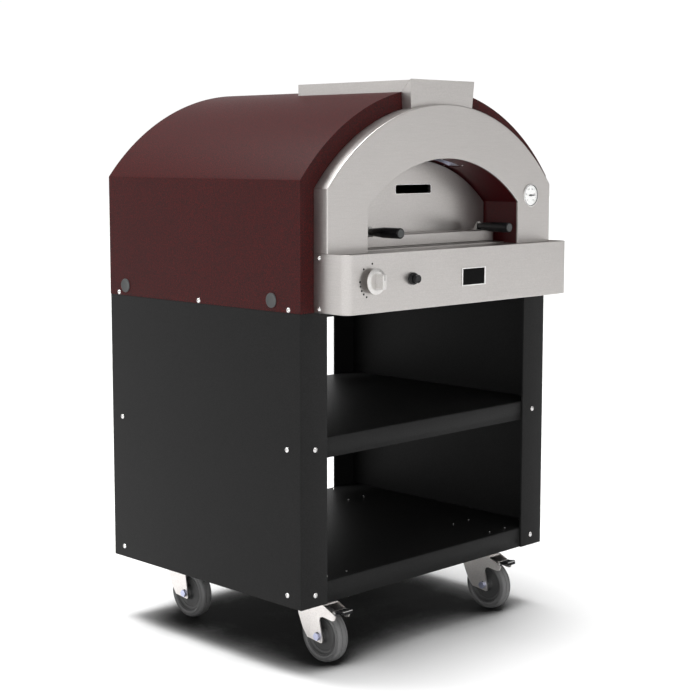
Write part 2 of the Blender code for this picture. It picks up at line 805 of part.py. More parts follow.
HANDLE_BACK = 0.0205
HANDLE = [
    (0.0, 0.0945),
    (0.0080, 0.0943),
    (0.0108, 0.0932),
    (0.0118, 0.0912),
    (0.0119, 0.0880),
    (0.0074, 0.0015),
    (0.0070, GAP),
    (0.0, GAP),
]
LUG = [
    (0.0335, FLAP_TOP + 0.0006),
    (0.0225, 0.8235),
    (HANDLE_BACK, 0.8235),
    (HANDLE_BACK, FLAP_TOP - 0.0008),
    (0.0335, FLAP_TOP - 0.0008),
]
for side, x in (("left", MID_X - HANDLE_SPREAD), ("right", MID_X + HANDLE_SPREAD)):
    boolean(door, prism(side + "_handle_lug", LUG, "X", x - 0.008, x + 0.008), "UNION")
    turned(f"{side}_door_handle", HANDLE, "-Y", (x, HANDLE_BACK, HANDLE_Z), PHENOLIC, steps=24)

# ---------------------------------------------------------------- thermometer: heights stand out from the hood
DIAL_AT = (DIAL[0], HOOD_FRONT, DIAL[1])
CASE = [
    (0.0, -0.0012),
    (0.0252, -0.0012),
    (0.0252, 0.0024),
    (0.0258, 0.0028),
    (0.0270, 0.0026),
    (0.0277, 0.0018),
    (0.0277, GAP),
    (0.0264, GAP),
    (0.0264, -0.0080),
    (0.0050, -0.0095),
    (0.0050, -0.0300),
    (0.0, -0.0300),
]
turned("thermometer_case", CASE, "-Y", DIAL_AT, STEEL, steps=32)
DISC = [(0.0, 0.0002), (0.0249, 0.0002), (0.0249, -0.0006), (0.0, -0.0006)]
turned("thermometer_dial", DISC, "-Y", DIAL_AT, DIAL_WHITE, steps=36)
LENS = [(0.0, 0.0022), (0.0249, 0.0022), (0.0249, 0.0016), (0.0, 0.0016)]
turned("thermometer_glass", LENS, "-Y", DIAL_AT, GLASS, steps=36)
needle_outline = [
    (-0.0065, -0.0012),
    (-0.0022, -0.0022),
    (0.0022, -0.0022),
    (0.0180, -0.0005),
    (0.0180, 0.0005),
    (0.0022, 0.0022),
    (-0.0022, 0.0022),
    (-0.0065, 0.0012),
]
prism(
    "thermometer_needle",
    [(DIAL[0] + u, DIAL[1] + v) for u, v in needle_outline],
    "Y",
    HOOD_FRONT - 0.0012,
    HOOD_FRONT - 0.0006,
    PHENOLIC,
    (DIAL[0], HOOD_FRONT - 0.0009, DIAL[1]),
)

# ---------------------------------------------------------------- gas control and igniter
KNOB_AT = (KNOB[0], CONSOLE_FRONT, KNOB[1])
SKIRT = [
    (0.0, 0.0165),
    (0.0205, 0.0165),
    (0.0280, 0.0135),
    (0.0280, 0.0115),
    (0.0120, 0.0115),
    (0.0120, 0.0012),
    (0.0, 0.0012),
]
knob = turned("control_knob", SKIRT, "-Y", KNOB_AT, STEEL, steps=40)
grip = [
    (KNOB[0] - 0.0058, KNOB[1] - 0.0160),
    (KNOB[0] + 0.0058, KNOB[1] - 0.0160),
    (KNOB[0] + 0.0058, KNOB[1] + 0.0160),
    (KNOB[0] - 0.0058, KNOB[1] + 0.0160),
]
boolean(knob, prism("knob_grip", grip, "Y", CONSOLE_FRONT - 0.037, CONSOLE_FRONT - 0.015), "UNION")
boolean(
    knob,
    cylinder("knob_bore", "Y", *KNOB, 0.0041, CONSOLE_FRONT - 0.0130, CONSOLE_FRONT + 0.01, count=20),
)
VALVE = [
    (0.0, 0.0120),
    (0.0040, 0.0120),
    (0.0040, -0.0023),
    (0.0130, -0.0023),
    (0.0130, -0.0060),
    (0.0110, -0.0060),
    (0.0110, -0.0380),
    (0.0075, -0.0400),
    (0.0075, -0.0480),
    (0.0, -0.0480),
]
turned("gas_valve", VALVE, "-Y", KNOB_AT, BRASS, steps=20)

route = bpy.data.curves.new("gas_pipe", "CURVE")
route.dimensions = "3D"
route.bevel_depth = 0.0045
route.bevel_resolution = 3
route.resolution_u = 1
route.use_fill_caps = True
PIPE = [
    (CONSOLE_FRONT + 0.0483, KNOB[1]),
    (0.025, KNOB[1]),
    (0.039, KNOB[1] + 0.006),
    (0.045, KNOB[1] + 0.020),
    (0.045, PIPE_RISE - 0.020),
    (0.051, PIPE_RISE - 0.006),
    (0.065, PIPE_RISE),
    (0.0985, PIPE_RISE),
]
line = route.splines.new("POLY")
line.points.add(len(PIPE) - 1)
for point, (y, z) in zip(line.points, PIPE):
    point.co = (0, y, z, 1)
pipe = bpy.data.objects.new("gas_pipe", route)
pipe.parent = FRAME
pipe.location = (KNOB[0], 0, 0)
PARTS.objects.link(pipe)
route.materials.append(COPPER)
cylinder("burner_tube", "Y", KNOB[0], PIPE_RISE, 0.0110, 0.0988, 0.520, STEEL, 24)

IGNITER_AT = (IGNITER[0], CONSOLE_FRONT, IGNITER[1])
COLLAR = [
    (0.0, -0.0150),
    (0.0099, -0.0150),
    (0.0099, 0.0085),
    (0.0120, 0.0085),
    (0.0137, 0.0064),
    (0.0137, GAP),
    (0.0108, GAP),
    (0.0108, -0.0260),
    (0.0, -0.0260),
]
turned("igniter_collar", COLLAR, "-Y", IGNITER_AT, PHENOLIC, steps=28)
BUTTON = [(0.0, 0.0192), (0.0074, 0.0192), (0.0094, 0.0172), (0.0094, -0.0095), (0.0, -0.0095)]
turned("igniter_button", BUTTON, "-Y", IGNITER_AT, PHENOLIC, steps=24)
block(
    "badge_plate",
    BADGE[:2],
    (CONSOLE_FRONT - 0.0018, CONSOLE_FRONT - GAP),
    BADGE[2:],
    PHENOLIC,
    (sum(BADGE[:2]) / 2, CONSOLE_FRONT, sum(BADGE[2:]) / 2),
)
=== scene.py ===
"""Looks of the arched oven on its wheeled stand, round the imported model. Metres, +Z up, front at -Y."""

import math

import bmesh
import bpy
from mathutils import Matrix, Vector


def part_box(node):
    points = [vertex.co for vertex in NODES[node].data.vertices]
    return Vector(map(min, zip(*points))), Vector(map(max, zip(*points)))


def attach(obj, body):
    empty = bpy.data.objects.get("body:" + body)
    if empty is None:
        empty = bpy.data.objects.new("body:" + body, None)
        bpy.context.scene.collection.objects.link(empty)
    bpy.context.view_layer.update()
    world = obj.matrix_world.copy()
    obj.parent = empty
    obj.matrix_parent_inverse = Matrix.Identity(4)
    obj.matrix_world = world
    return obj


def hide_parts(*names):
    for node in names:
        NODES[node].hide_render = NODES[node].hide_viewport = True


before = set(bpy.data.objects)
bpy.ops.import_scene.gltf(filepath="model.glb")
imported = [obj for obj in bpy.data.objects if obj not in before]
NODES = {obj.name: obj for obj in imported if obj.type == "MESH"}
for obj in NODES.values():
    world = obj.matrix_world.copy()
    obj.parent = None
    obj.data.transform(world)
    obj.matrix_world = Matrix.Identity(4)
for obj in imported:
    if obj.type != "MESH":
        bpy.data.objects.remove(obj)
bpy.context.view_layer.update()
ROOT = "oven_and_stand"
CORNERS = ("front_left", "front_right", "rear_left", "rear_right")

SHEET = 0.002
EASE = 0.0008  # rounding of cut sheet edges
BEND = 0.0030  # outer radius of a fold
PAST = 0.01  # how far a cutter runs on beyond the face it opens
MOUTH_HALF = 0.258
MOUTH_RADIUS = 0.3705
LINING_REACH = 0.0027  # of the lining's outer face beyond the mouth
SHELL_RADIUS = 0.5355
HOOD_RADIUS = 0.4845
DOOR_HALF = 0.2545
DOOR_SKIN = 0.0015
FLAP_HALF = 0.245
FLAP_CORNER = 0.020
SLOT_HALF = 0.0605
SLOT_RADIUS = 0.0052
PEDAL_HALF = 0.0142
CHEEK_LIFT = 0.0042  # of the fork cheeks' lower tips and front arms
SWIVEL_TRAIL = 0.0385  # from the wheel's centre back to its swivel axis
SCREW_INSET = 0.0426  # of the panel screws, from the panel's outer face
SCREW_ROWS = (0.0261, 0.3487)


# ---------------------------------------------------------------- camera, light and floor
def make_camera():
    data = bpy.data.cameras.new("camera")
    data.sensor_width = 36
    data.lens = 77.53
    data.shift_x = 0.0159
    data.shift_y = -0.0454
    camera = linked("camera", data)
    camera.location = (-2.59775, -2.57726, 1.14298)
    camera.rotation_euler = (math.radians(90 - 6.254), 0, math.radians(-44.784))
    bpy.context.scene.camera = camera


def area_light(name, location, target, size, power):
    data = bpy.data.lights.new(name, "AREA")
    data.shape = "RECTANGLE"
    data.size = size[0]
    data.size_y = size[1]
    data.energy = power
    lamp = linked(name, data)
    lamp.location = location
    aim = Vector(target) - Vector(location)
    lamp.rotation_euler = aim.to_track_quat("-Z", "Y").to_euler()


def make_studio():
    """White paper floor and backdrop, a broad light overhead and a soft box behind the left shoulder."""
    scene = bpy.context.scene
    scene.view_settings.view_transform = "Standard"
    world = bpy.data.worlds.new("studio")
    scene.world = world
    world.use_nodes = True
    tree = world.node_tree
    direction = new_node(tree, "TexCoord").outputs["Generated"]
    height = new_node(tree, "SeparateXYZ")
    tree.links.new(direction, height.inputs["Vector"])
    levels = ((0.0, 1.0), (0.22, 1.0), (0.55, 0.36), (1.0, 0.28))
    walls = colour_ramp(tree, height.outputs["Z"], [(where, grey(level)) for where, level in levels])
    backdrop = tree.nodes["Background"]
    tree.links.new(walls, backdrop.inputs["Color"])
    strength = 1.03
    brighter_left = ((-0.7, -0.7, 0), 0.0, 1.0, 1.60)
    darker_right = ((0.990, -0.139, 0), 0.79, 1.0, 0.12)
    for toward, low, high, level in (brighter_left, darker_right):
        facing = new_node(tree, "VectorMath")
        facing.operation = "DOT_PRODUCT"
        facing.inputs[1].default_value = toward
        tree.links.new(direction, facing.inputs[0])
        share = new_node(tree, "MapRange", From_Min=low, From_Max=high, To_Min=1.0, To_Max=level)
        tree.links.new(facing.outputs["Value"], share.inputs["Value"])
        strength = arithmetic(tree, "MULTIPLY", share.outputs["Result"], strength)
    tree.links.new(strength, backdrop.inputs["Strength"])

    data = bpy.data.lights.new("overhead", "SUN")
    data.energy = 2.7
    data.angle = math.radians(30)
    linked("overhead", data).rotation_euler = (math.radians(-2), 0, 0)
    area_light("behind_left", (-1.05, 1.31, 3.75), (-0.3, -0.3, 1.1), (1.2, 0.8), 60)

    bm = bmesh.new()
    bmesh.ops.create_grid(bm, x_segments=1, y_segments=1, size=30)
    new_object("floor", bm, FLOOR)


# ---------------------------------------------------------------- shader nodes
def new_node(tree, kind, **values):
    """A shader node of this kind, with plain values in the sockets named."""
    made = tree.nodes.new("ShaderNode" + kind)
    for socket, value in values.items():
        made.inputs[socket.replace("_", " ")].default_value = value
    return made


def feed(tree, socket, value):
    """Links another node's output to the socket, or sets the socket's plain value."""
    if isinstance(value, bpy.types.NodeSocket):
        tree.links.new(value, socket)
    else:
        socket.default_value = (*value, 1) if isinstance(value, tuple) else value


def arithmetic(tree, operation, a, b):
    made = new_node(tree, "Math")
    made.operation = operation
    feed(tree, made.inputs[0], a)
    feed(tree, made.inputs[1], b)
    return made.outputs["Value"]


def colour_ramp(tree, source, stops):
    made = new_node(tree, "ValToRGB")
    while len(made.color_ramp.elements) < len(stops):
        made.color_ramp.elements.new(0.5)
    for element, (where, colour) in zip(made.color_ramp.elements, stops):
        element.position = where
        element.color = (*colour, 1)
    tree.links.new(source, made.inputs["Fac"])
    return made.outputs["Color"]


# ---------------------------------------------------------------- materials
class Shader:
    """A Principled material with short calls for the nodes that feed it."""

    def __init__(self, name, colour, metallic, roughness, **sockets):
        self.material = bpy.data.materials.new(name)
        self.material.use_nodes = True
        self.tree = self.material.node_tree
        self.shader = self.tree.nodes["Principled BSDF"]
        self.shader.inputs["Base Color"].default_value = (*colour, 1)
        for socket, value in {"Metallic": metallic, "Roughness": roughness, **sockets}.items():
            self.shader.inputs[socket.replace("_", " ")].default_value = value
        self.place = new_node(self.tree, "TexCoord").outputs["Object"]

    def link(self, source, target):
        self.tree.links.new(source, target)

    def noise(self, scale, detail=2.0, stretch=None, rough=0.5):
        place = self.place
        if stretch:
            mapping = new_node(self.tree, "Mapping", Scale=stretch)
            self.link(place, mapping.inputs["Vector"])
            place = mapping.outputs["Vector"]
        made = new_node(self.tree, "TexNoise", Scale=scale, Detail=detail, Roughness=rough)
        self.link(place, made.inputs["Vector"])
        return made.outputs["Fac"]

    def cells(self, scale):
        made = new_node(self.tree, "TexVoronoi", Scale=scale)
        self.link(self.place, made.inputs["Vector"])
        return made.outputs["Distance"]

    def ramp(self, source, *stops):
        return colour_ramp(self.tree, source, stops)

    def spread(self, source, low, high, start=0.3, end=0.7):
        made = new_node(self.tree, "MapRange", From_Min=start, From_Max=end, To_Min=low, To_Max=high)
        self.link(source, made.inputs["Value"])
        return made.outputs["Result"]

    def math(self, operation, a, b):
        return arithmetic(self.tree, operation, a, b)

    def mix(self, factor, a, b):
        made = new_node(self.tree, "Mix")
        made.data_type = "RGBA"
        for socket, value in zip((made.inputs[0], made.inputs[6], made.inputs[7]), (factor, a, b)):
            feed(self.tree, socket, value)
        return made.outputs[2]

    def colour(self, source):
        self.link(source, self.shader.inputs["Base Color"])

    def roughness(self, source):
        self.link(source, self.shader.inputs["Roughness"])

    def bump(self, source, depth, strength):
        made = new_node(self.tree, "Bump", Strength=strength, Distance=depth)
        self.link(source, made.inputs["Height"])
        self.link(made.outputs["Normal"], self.shader.inputs["Normal"])


def grey(level):
    return level, level, level


def scaled(colour, factor):
    return tuple(c * factor for c in colour)


def brushed_steel(name, colour, roughness, run):
    """Satin stainless sheet: fine strokes along `run`, a grainy sheen and faint clouding."""
    made = Shader(name, colour, 1.0, roughness)
    stretch = [1.0, 1.0, 1.0]
    stretch["XYZ".index(run)] = 0.012
    strokes = made.noise(2200, 3.0, tuple(stretch))
    grain = made.noise(420, 3.0, rough=0.7)
    clouds = made.noise(9, 3.0)
    fine = made.spread(strokes, roughness - 0.05, roughness + 0.05)
    made.roughness(made.math("ADD", fine, made.spread(clouds, -0.02, 0.03)))
    dark = scaled(colour, 0.88)
    toned = made.ramp(strokes, (0.2, dark), (0.6, scaled(colour, 1.10)))
    made.colour(made.mix(made.spread(grain, 0.0, 0.9), toned, dark))
    made.bump(made.math("ADD", strokes, made.math("MULTIPLY", grain, 0.8)), 0.00004, 0.35)
    return made.material


def powder_coat(name, flecks, roughness, gloss):
    """Baked powder paint: flecks of the listed colours, and the pebbled surface they melt into."""
    made = Shader(name, flecks[1], 0.0, roughness, Specular_IOR_Level=gloss)
    speckle = made.noise(480, 3.0, rough=0.75)
    tones = made.ramp(speckle, *zip((0.38, 0.50, 0.62), flecks))
    clouds = made.noise(5, 2.0)
    made.colour(made.mix(made.spread(clouds, 0.0, 0.22), tones, scaled(flecks[1], 0.85)))
    made.roughness(made.spread(made.noise(700, 1.0), roughness - 0.05, roughness + 0.07))
    made.bump(made.noise(1000, 2.0), 0.00010, 0.5)
    return made.material


def zinc_plate():
    """Bright zinc: soft spangle and a few drawing marks."""
    made = Shader("zinc_plate", (0.76, 0.73, 0.71), 1.0, 0.36)
    spangle = made.cells(260)
    fine = made.noise(1500, 2.0)
    made.colour(made.ramp(spangle, (0.1, (0.70, 0.67, 0.65)), (0.6, (0.78, 0.75, 0.73))))
    made.roughness(made.spread(made.noise(180, 3.0), 0.34, 0.46))
    made.bump(fine, 0.00005, 0.3)
    return made.material


def moulded(name, colour, roughness, grain=0.00008, scale=1600, **sockets):
    """Moulded plastic or rubber: a fine sparked grain, and handling wear in its gloss."""
    made = Shader(name, colour, 0.0, roughness, **sockets)
    speck = made.noise(scale, 2.0)
    made.colour(made.ramp(speck, (0.3, scaled(colour, 0.8)), (0.7, scaled(colour, 1.2))))
    made.roughness(made.spread(made.noise(22, 2.0), roughness - 0.03, roughness + 0.04))
    made.bump(speck, grain, 0.4)
    return made.material


def fired_stone():
    """Refractory tile: sandy body with darker grit and fine pores."""
    made = Shader("fired_stone", (0.55, 0.47, 0.36), 0.0, 0.85)
    grit = made.noise(240, 4.0, rough=0.7)
    pores = made.cells(420)
    sand = ((0.3, (0.36, 0.29, 0.21)), (0.5, (0.56, 0.48, 0.37)), (0.72, (0.70, 0.63, 0.52)))
    made.colour(made.ramp(grit, *sand))
    made.bump(made.math("ADD", grit, made.spread(pores, -0.4, 0.2, 0.0, 0.25)), 0.0006, 0.6)
    return made.material


def wool_blanket():
    """Ceramic fibre: matted strands."""
    made = Shader("wool_blanket", (0.80, 0.78, 0.73), 0.0, 0.95)
    strands = made.noise(160, 5.0, (1.0, 0.25, 1.0), 0.75)
    made.colour(made.ramp(strands, (0.3, (0.62, 0.59, 0.53)), (0.65, (0.84, 0.82, 0.78))))
    made.bump(strands, 0.0012, 0.7)
    return made.material


def sooty_steel():
    """The dome inside: stainless tinted by heat, straw to blue, with light soot."""
    made = Shader("heat_tinted_steel", (0.45, 0.40, 0.35), 1.0, 0.45)
    heat = made.noise(4, 3.0)
    tint = made.ramp(heat, (0.3, (0.50, 0.47, 0.44)), (0.5, (0.48, 0.38, 0.24)), (0.7, (0.28, 0.26, 0.30)))
    made.colour(made.mix(made.spread(made.noise(60, 4.0), 0.0, 0.6), tint, (0.12, 0.11, 0.10)))
    made.roughness(made.spread(made.noise(300, 3.0), 0.38, 0.62))
    made.bump(made.noise(900, 2.0), 0.00008, 0.4)
    return made.material


def bright_metal(name, colour, roughness):
    made = Shader(name, colour, 1.0, roughness)
    fine = made.noise(1800, 2.0)
    made.roughness(made.spread(fine, roughness - 0.05, roughness + 0.08))
    made.colour(made.ramp(made.noise(90, 3.0), (0.3, scaled(colour, 0.88)), (0.7, colour)))
    made.bump(fine, 0.00003, 0.3)
    return made.material


def clear_glass():
    made = Shader("dial_glass", (1, 1, 1), 0.0, 0.03, IOR=1.45, Alpha=0.05)
    made.roughness(made.spread(made.noise(40, 2.0), 0.02, 0.05))
    return made.material


def flat_ink():
    """Matt black print."""
    made = Shader("printed_ink", grey(0.004), 0.0, 0.7, Specular_IOR_Level=0.05)
    made.colour(made.ramp(made.noise(900, 2.0), (0.3, grey(0.003)), (0.7, grey(0.006))))
    return made.material


def studio_floor():
    """White paper, with a painted contact shadow: ambient occlusion darkens it where something stands close
    over it.
    """
    made = Shader("floor_paper_and_painted_shadow", grey(0.92), 0.0, 0.8, Specular_IOR_Level=0.1)
    paper = made.ramp(made.noise(1.2, 2.0), (0.3, grey(0.915)), (0.7, grey(0.925)))
    painted_contact_shadow = new_node(made.tree, "AmbientOcclusion", Distance=0.30)
    painted_contact_shadow.samples = 32
    # Painted shadow: where ambient occlusion finds something close above, the paper is mixed to near-black.
    made.colour(made.mix(made.spread(painted_contact_shadow.outputs["AO"], 0.0, 1.0, 0.46, 0.70), grey(0.020), paper))
    return made.material


RED_FLECKS = ((0.014, 0.0076, 0.0076), (0.038, 0.0076, 0.0076), (0.081, 0.0076, 0.0076))
WINE_FLECKS = ((0.020, 0.006, 0.007), (0.044, 0.005, 0.006), (0.078, 0.004, 0.006))
SATIN = (0.510, 0.488, 0.473)
BURGUNDY = powder_coat("burgundy_powder_coat", RED_FLECKS, 0.46, 0.09)
LINING = powder_coat("lining_enamel", WINE_FLECKS, 0.34, 0.20)
BLACK = powder_coat("black_powder_coat", (grey(0.0085), grey(0.0115), grey(0.0160)), 0.48, 0.10)
STEEL_X = brushed_steel("satin_stainless_across", SATIN, 0.36, "X")
STEEL_Y = brushed_steel("satin_stainless_along", SATIN, 0.36, "Y")
ZINC = zinc_plate()
RUBBER = moulded("grey_rubber", grey(0.135), 0.50, 0.00008, 1200)
HUB = moulded("grey_nylon", grey(0.055), 0.42)
PHENOLIC = moulded("black_phenolic", (0.007, 0.007, 0.0075), 0.22, 0.00002, Specular_IOR_Level=0.28)
# The end cap's grey, lighter than the black grip, is a painted reflection of the bright surroundings.
CAP_PAINTED_REFLECTION = moulded("handle_cap_painted_reflection", (0.045, 0.048, 0.048), 0.42, 0.00003)
PLUG = moulded("plug_plastic", (0.040, 0.042, 0.042), 0.40, 0.00004)
SILVER = moulded("silver_knob_paint", (0.60, 0.585, 0.57), 0.30, 0.00002, Metallic=0.75)
INK = flat_ink()
PRINT = moulded("dial_print", grey(0.16), 0.6, 0.00001)
# The duct steel's blue tint is painted sky light, seen through the flue opening.
DUCT = brushed_steel("duct_stainless", (0.60, 0.61, 0.68), 0.30, "X")
DIAL = moulded("dial_enamel", (0.97, 0.97, 0.96), 0.45, 0.00001)
BLACK_ZINC = moulded("black_pedal", (0.006, 0.006, 0.007), 0.50, Specular_IOR_Level=0.15)
BLUE_ZINC = bright_metal("blue_passivated_zinc", (0.58, 0.61, 0.80), 0.34)
# Darker copy of the steel, for the bracket tab and fins: painted shade.
SHADED_BRACKET_STEEL = bright_metal("bracket_steel_painted_shade", (0.36, 0.35, 0.34), 0.38)
BRASS = bright_metal("brass", (0.70, 0.52, 0.22), 0.28)
COPPER = bright_metal("copper", (0.72, 0.40, 0.28), 0.30)
SCREW = bright_metal("screw_steel", (0.80, 0.79, 0.78), 0.22)
STONE = fired_stone()
WOOL = wool_blanket()
SOOTY = sooty_steel()
GLASS = clear_glass()
FLOOR = studio_floor()


# ---------------------------------------------------------------- building helpers
def linked(name, data):
    made = bpy.data.objects.new(name, data)
    bpy.context.scene.collection.objects.link(made)
    return made


def new_object(name, bm, material=None):
    mesh = bpy.data.meshes.new(name)
    bm.to_mesh(mesh)
    bm.free()
    if material:
        mesh.materials.append(material)
    return linked(name, mesh)


def box_mesh(low, high):
    low = Vector(low)
    high = Vector(high)
    bm = bmesh.new()
    bmesh.ops.create_cube(bm, size=1)
    bmesh.ops.scale(bm, verts=bm.verts, vec=high - low)
    bmesh.ops.translate(bm, verts=bm.verts, vec=(low + high) / 2)
    return bm


def bar_mesh(sides, low_radius, high_radius, length):
    bm = bmesh.new()
    bmesh.ops.create_cone(
        bm, cap_ends=True, segments=sides, radius1=low_radius, radius2=high_radius, depth=length
    )
    return bm


def block(name, low, high, material=None):
    return new_object(name, box_mesh(low, high), material)


def piece(obj, body, slot, *nodes):
    if nodes:
        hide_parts(*nodes)
    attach(obj, body)
    return obj


def smooth(obj, degrees):
    obj.data.shade_smooth()
    obj.data.set_sharp_from_angle(angle=math.radians(degrees))
    return obj


def eased(obj, width=EASE, segments=2, degrees=32):
    """Rounds the sharp edges, once the cuts are made."""
    obj.data.shade_smooth()
    step = obj.modifiers.new("ease", "BEVEL")
    step.width = width
    step.segments = segments
    step.limit_method = "ANGLE"
    step.angle_limit = math.radians(degrees)
    step.harden_normals = True
    return obj


def folded(obj, is_fold, bend, ease):
    """Rounds every sharp edge by `ease`; `is_fold` gives the share of `bend` that an edge gets instead."""
    mesh = obj.data
    mesh.shade_smooth()
    bm = bmesh.new()
    bm.from_mesh(mesh)
    weights = bm.edges.layers.float.new("bevel_weight_edge")
    for edge in bm.edges:
        if len(edge.link_faces) == 2 and edge.calc_face_angle() > math.radians(32):
            a, b = edge.verts
            share = is_fold((a.co + b.co) / 2, edge) if edge.calc_face_angle_signed() > 0 else 0
            edge[weights] = share or ease / bend
    bm.to_mesh(mesh)
    bm.free()
    step = obj.modifiers.new("folds", "BEVEL")
    step.width = bend
    step.segments = 4
    step.limit_method = "WEIGHT"
    step.use_clamp_overlap = False
    step.harden_normals = True
    return obj


def applied(obj):
    """Turns the modifiers into mesh and removes their cutters."""
    others = [m.object for m in obj.modifiers if m.type == "BOOLEAN"]
    graph = bpy.context.evaluated_depsgraph_get()
    graph.update()
    old = obj.data
    obj.data = bpy.data.meshes.new_from_object(obj.evaluated_get(graph))
    obj.modifiers.clear()
    bpy.data.meshes.remove(old)
    for other in others:
        bpy.data.objects.remove(other)
    return obj


def cut(target, other, operation="DIFFERENCE"):
    step = target.modifiers.new("cut", "BOOLEAN")
    step.operation = operation
    step.solver = "EXACT"
    step.object = other


def along(axis, u, v, w):
    return Vector({"X": (w, u, v), "Y": (u, w, v), "Z": (u, v, w)}[axis])


def prism(name, outline, axis, low, high, material=None):
    """The outline pushed along an axis, from low to high."""
    bm = bmesh.new()
    face = bm.faces.new([bm.verts.new(along(axis, u, v, low)) for u, v in outline])
    pushed = bmesh.ops.extrude_face_region(bm, geom=[face], use_keep_orig=True)
    moved = [item for item in pushed["geom"] if isinstance(item, bmesh.types.BMVert)]
    bmesh.ops.translate(bm, verts=moved, vec=along(axis, 0, 0, high - low))
    bmesh.ops.recalc_face_normals(bm, faces=bm.faces)
    return new_object(name, bm, material)


TURNS = {
    "X": Matrix.Rotation(math.pi / 2, 4, "Y"),
    "-X": Matrix.Rotation(-math.pi / 2, 4, "Y"),
    "Y": Matrix.Rotation(-math.pi / 2, 4, "X"),
    "-Y": Matrix.Rotation(math.pi / 2, 4, "X"),
    "Z": Matrix.Identity(4),
    "-Z": Matrix.Rotation(math.pi, 4, "X"),
}


def lathe(name, profile, axis, centre, material, steps=64, closed=False):
    """Points (radius, height) spun about an axis; a point on the axis becomes one pole."""
    bm = bmesh.new()
    verts = [bm.verts.new((r, 0, h)) for r, h in profile]
    edges = [bm.edges.new(pair) for pair in zip(verts, verts[1:])]
    if closed:
        edges.append(bm.edges.new((verts[-1], verts[0])))
    bmesh.ops.spin(
        bm,
        geom=verts + edges,
        cent=(0, 0, 0),
        axis=(0, 0, 1),
        angle=2 * math.pi,
        steps=steps,
        use_merge=True,
        use_duplicate=False,
    )
    bmesh.ops.remove_doubles(bm, verts=bm.verts, dist=0.000005)
    bmesh.ops.recalc_face_normals(bm, faces=bm.faces)
    bmesh.ops.transform(bm, matrix=Matrix.Translation(centre) @ TURNS[axis], verts=bm.verts)
    return smooth(new_object(name, bm, material), 35)


def rounded(outline, radius, steps=4, only=None):
    """The outline with its corners (or only those listed) turned into arcs."""
    found = []
    count = len(outline)
    for i, point in enumerate(outline):
        here = Vector(point)
        if only is not None and i not in only:
            found.append(tuple(here))
            continue
        back = (Vector(outline[i - 1]) - here).normalized()
        ahead = (Vector(outline[(i + 1) % count]) - here).normalized()
        half = back.angle(ahead) / 2
        reach = radius / math.tan(half)
        centre = here + (back + ahead).normalized() * (radius / math.sin(half))
        start = here + back * reach - centre
        turn = start.angle_signed(here + ahead * reach - centre)
        for k in range(steps + 1):
            arm = Matrix.Rotation(-turn * k / steps, 2) @ start
            found.append(tuple(centre + arm))
    return found


def rectangle(left, low, right, high):
    return [(left, low), (right, low), (right, high), (left, high)]


def arch(half, foot, centre, radius, fillet=0.0, steps=72):
    """Two upright sides under an arc about a point on the middle line, from the front."""
    start = math.asin(half / radius)
    found = [(half, foot)]
    for i in range(steps + 1):
        a = start * (1 - 2 * i / steps)
        found.append((radius * math.sin(a), centre + radius * math.cos(a)))
    found.append((-half, foot))
    if fillet:
        return rounded(found, fillet, 4, only=(1, steps + 1))
    return found


def tub(half, front, corner, inset, back):
    """From above: turned front corners, and sides that run straight back."""
    half -= inset
    front += inset
    shape = [(-half, back), (-half, front), (half, front), (half, back)]
    return rounded(shape, corner - inset, 12, only=(1, 2))


# ---------------------------------------------------------------- places that the model gives
SHELL_LOW, SHELL_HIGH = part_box("oven_shell")
HOOD_LOW, HOOD_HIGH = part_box("hood")
CONSOLE_LOW, CONSOLE_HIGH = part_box("console")
LINING_LOW, LINING_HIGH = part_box("mouth_lining")
DOOR_LOW, DOOR_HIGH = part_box("oven_door")
SHELL_CENTRE = SHELL_HIGH.z - SHELL_RADIUS
HOOD_CENTRE = HOOD_HIGH.z - HOOD_RADIUS
MOUTH_CENTRE = LINING_HIGH.z - MOUTH_RADIUS - LINING_REACH
LEDGE = HOOD_LOW.z - 0.0003
STAND_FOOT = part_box("left_side_panel")[0].z


def above_foot(height):
    """A height counted from the stand's lower edge."""
    return STAND_FOOT + height


def middle(node):
    low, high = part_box(node)
    return (low + high) / 2


# ---------------------------------------------------------------- stand
def side_panels():
    flange = 0.080
    hem = 0.0055
    for side in ("left", "right"):
        node = side + "_side_panel"
        low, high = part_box(node)
        depth = high.y - low.y
        outline = [
            (0, 0), (flange, 0), (flange, hem), (flange - SHEET, hem), (flange - SHEET, SHEET),
            (SHEET, SHEET), (SHEET, depth - SHEET), (flange - SHEET, depth - SHEET),
            (flange - SHEET, depth - hem), (flange, depth - hem), (flange, depth), (0, depth),
        ]
        outline = rounded(rounded(outline, BEND, 5, only=(0, 11)), 0.0016, 3, only=(6, 15))
        if side == "left":
            placed = [(low.x + u, low.y + v) for u, v in outline]
        else:
            placed = [(high.x - u, low.y + v) for u, v in reversed(outline)]
        made = prism(side + "_panel_sheet", placed, "Z", low.z, high.z, BLACK)
        piece(eased(made, 0.0005), ROOT, "black", node)


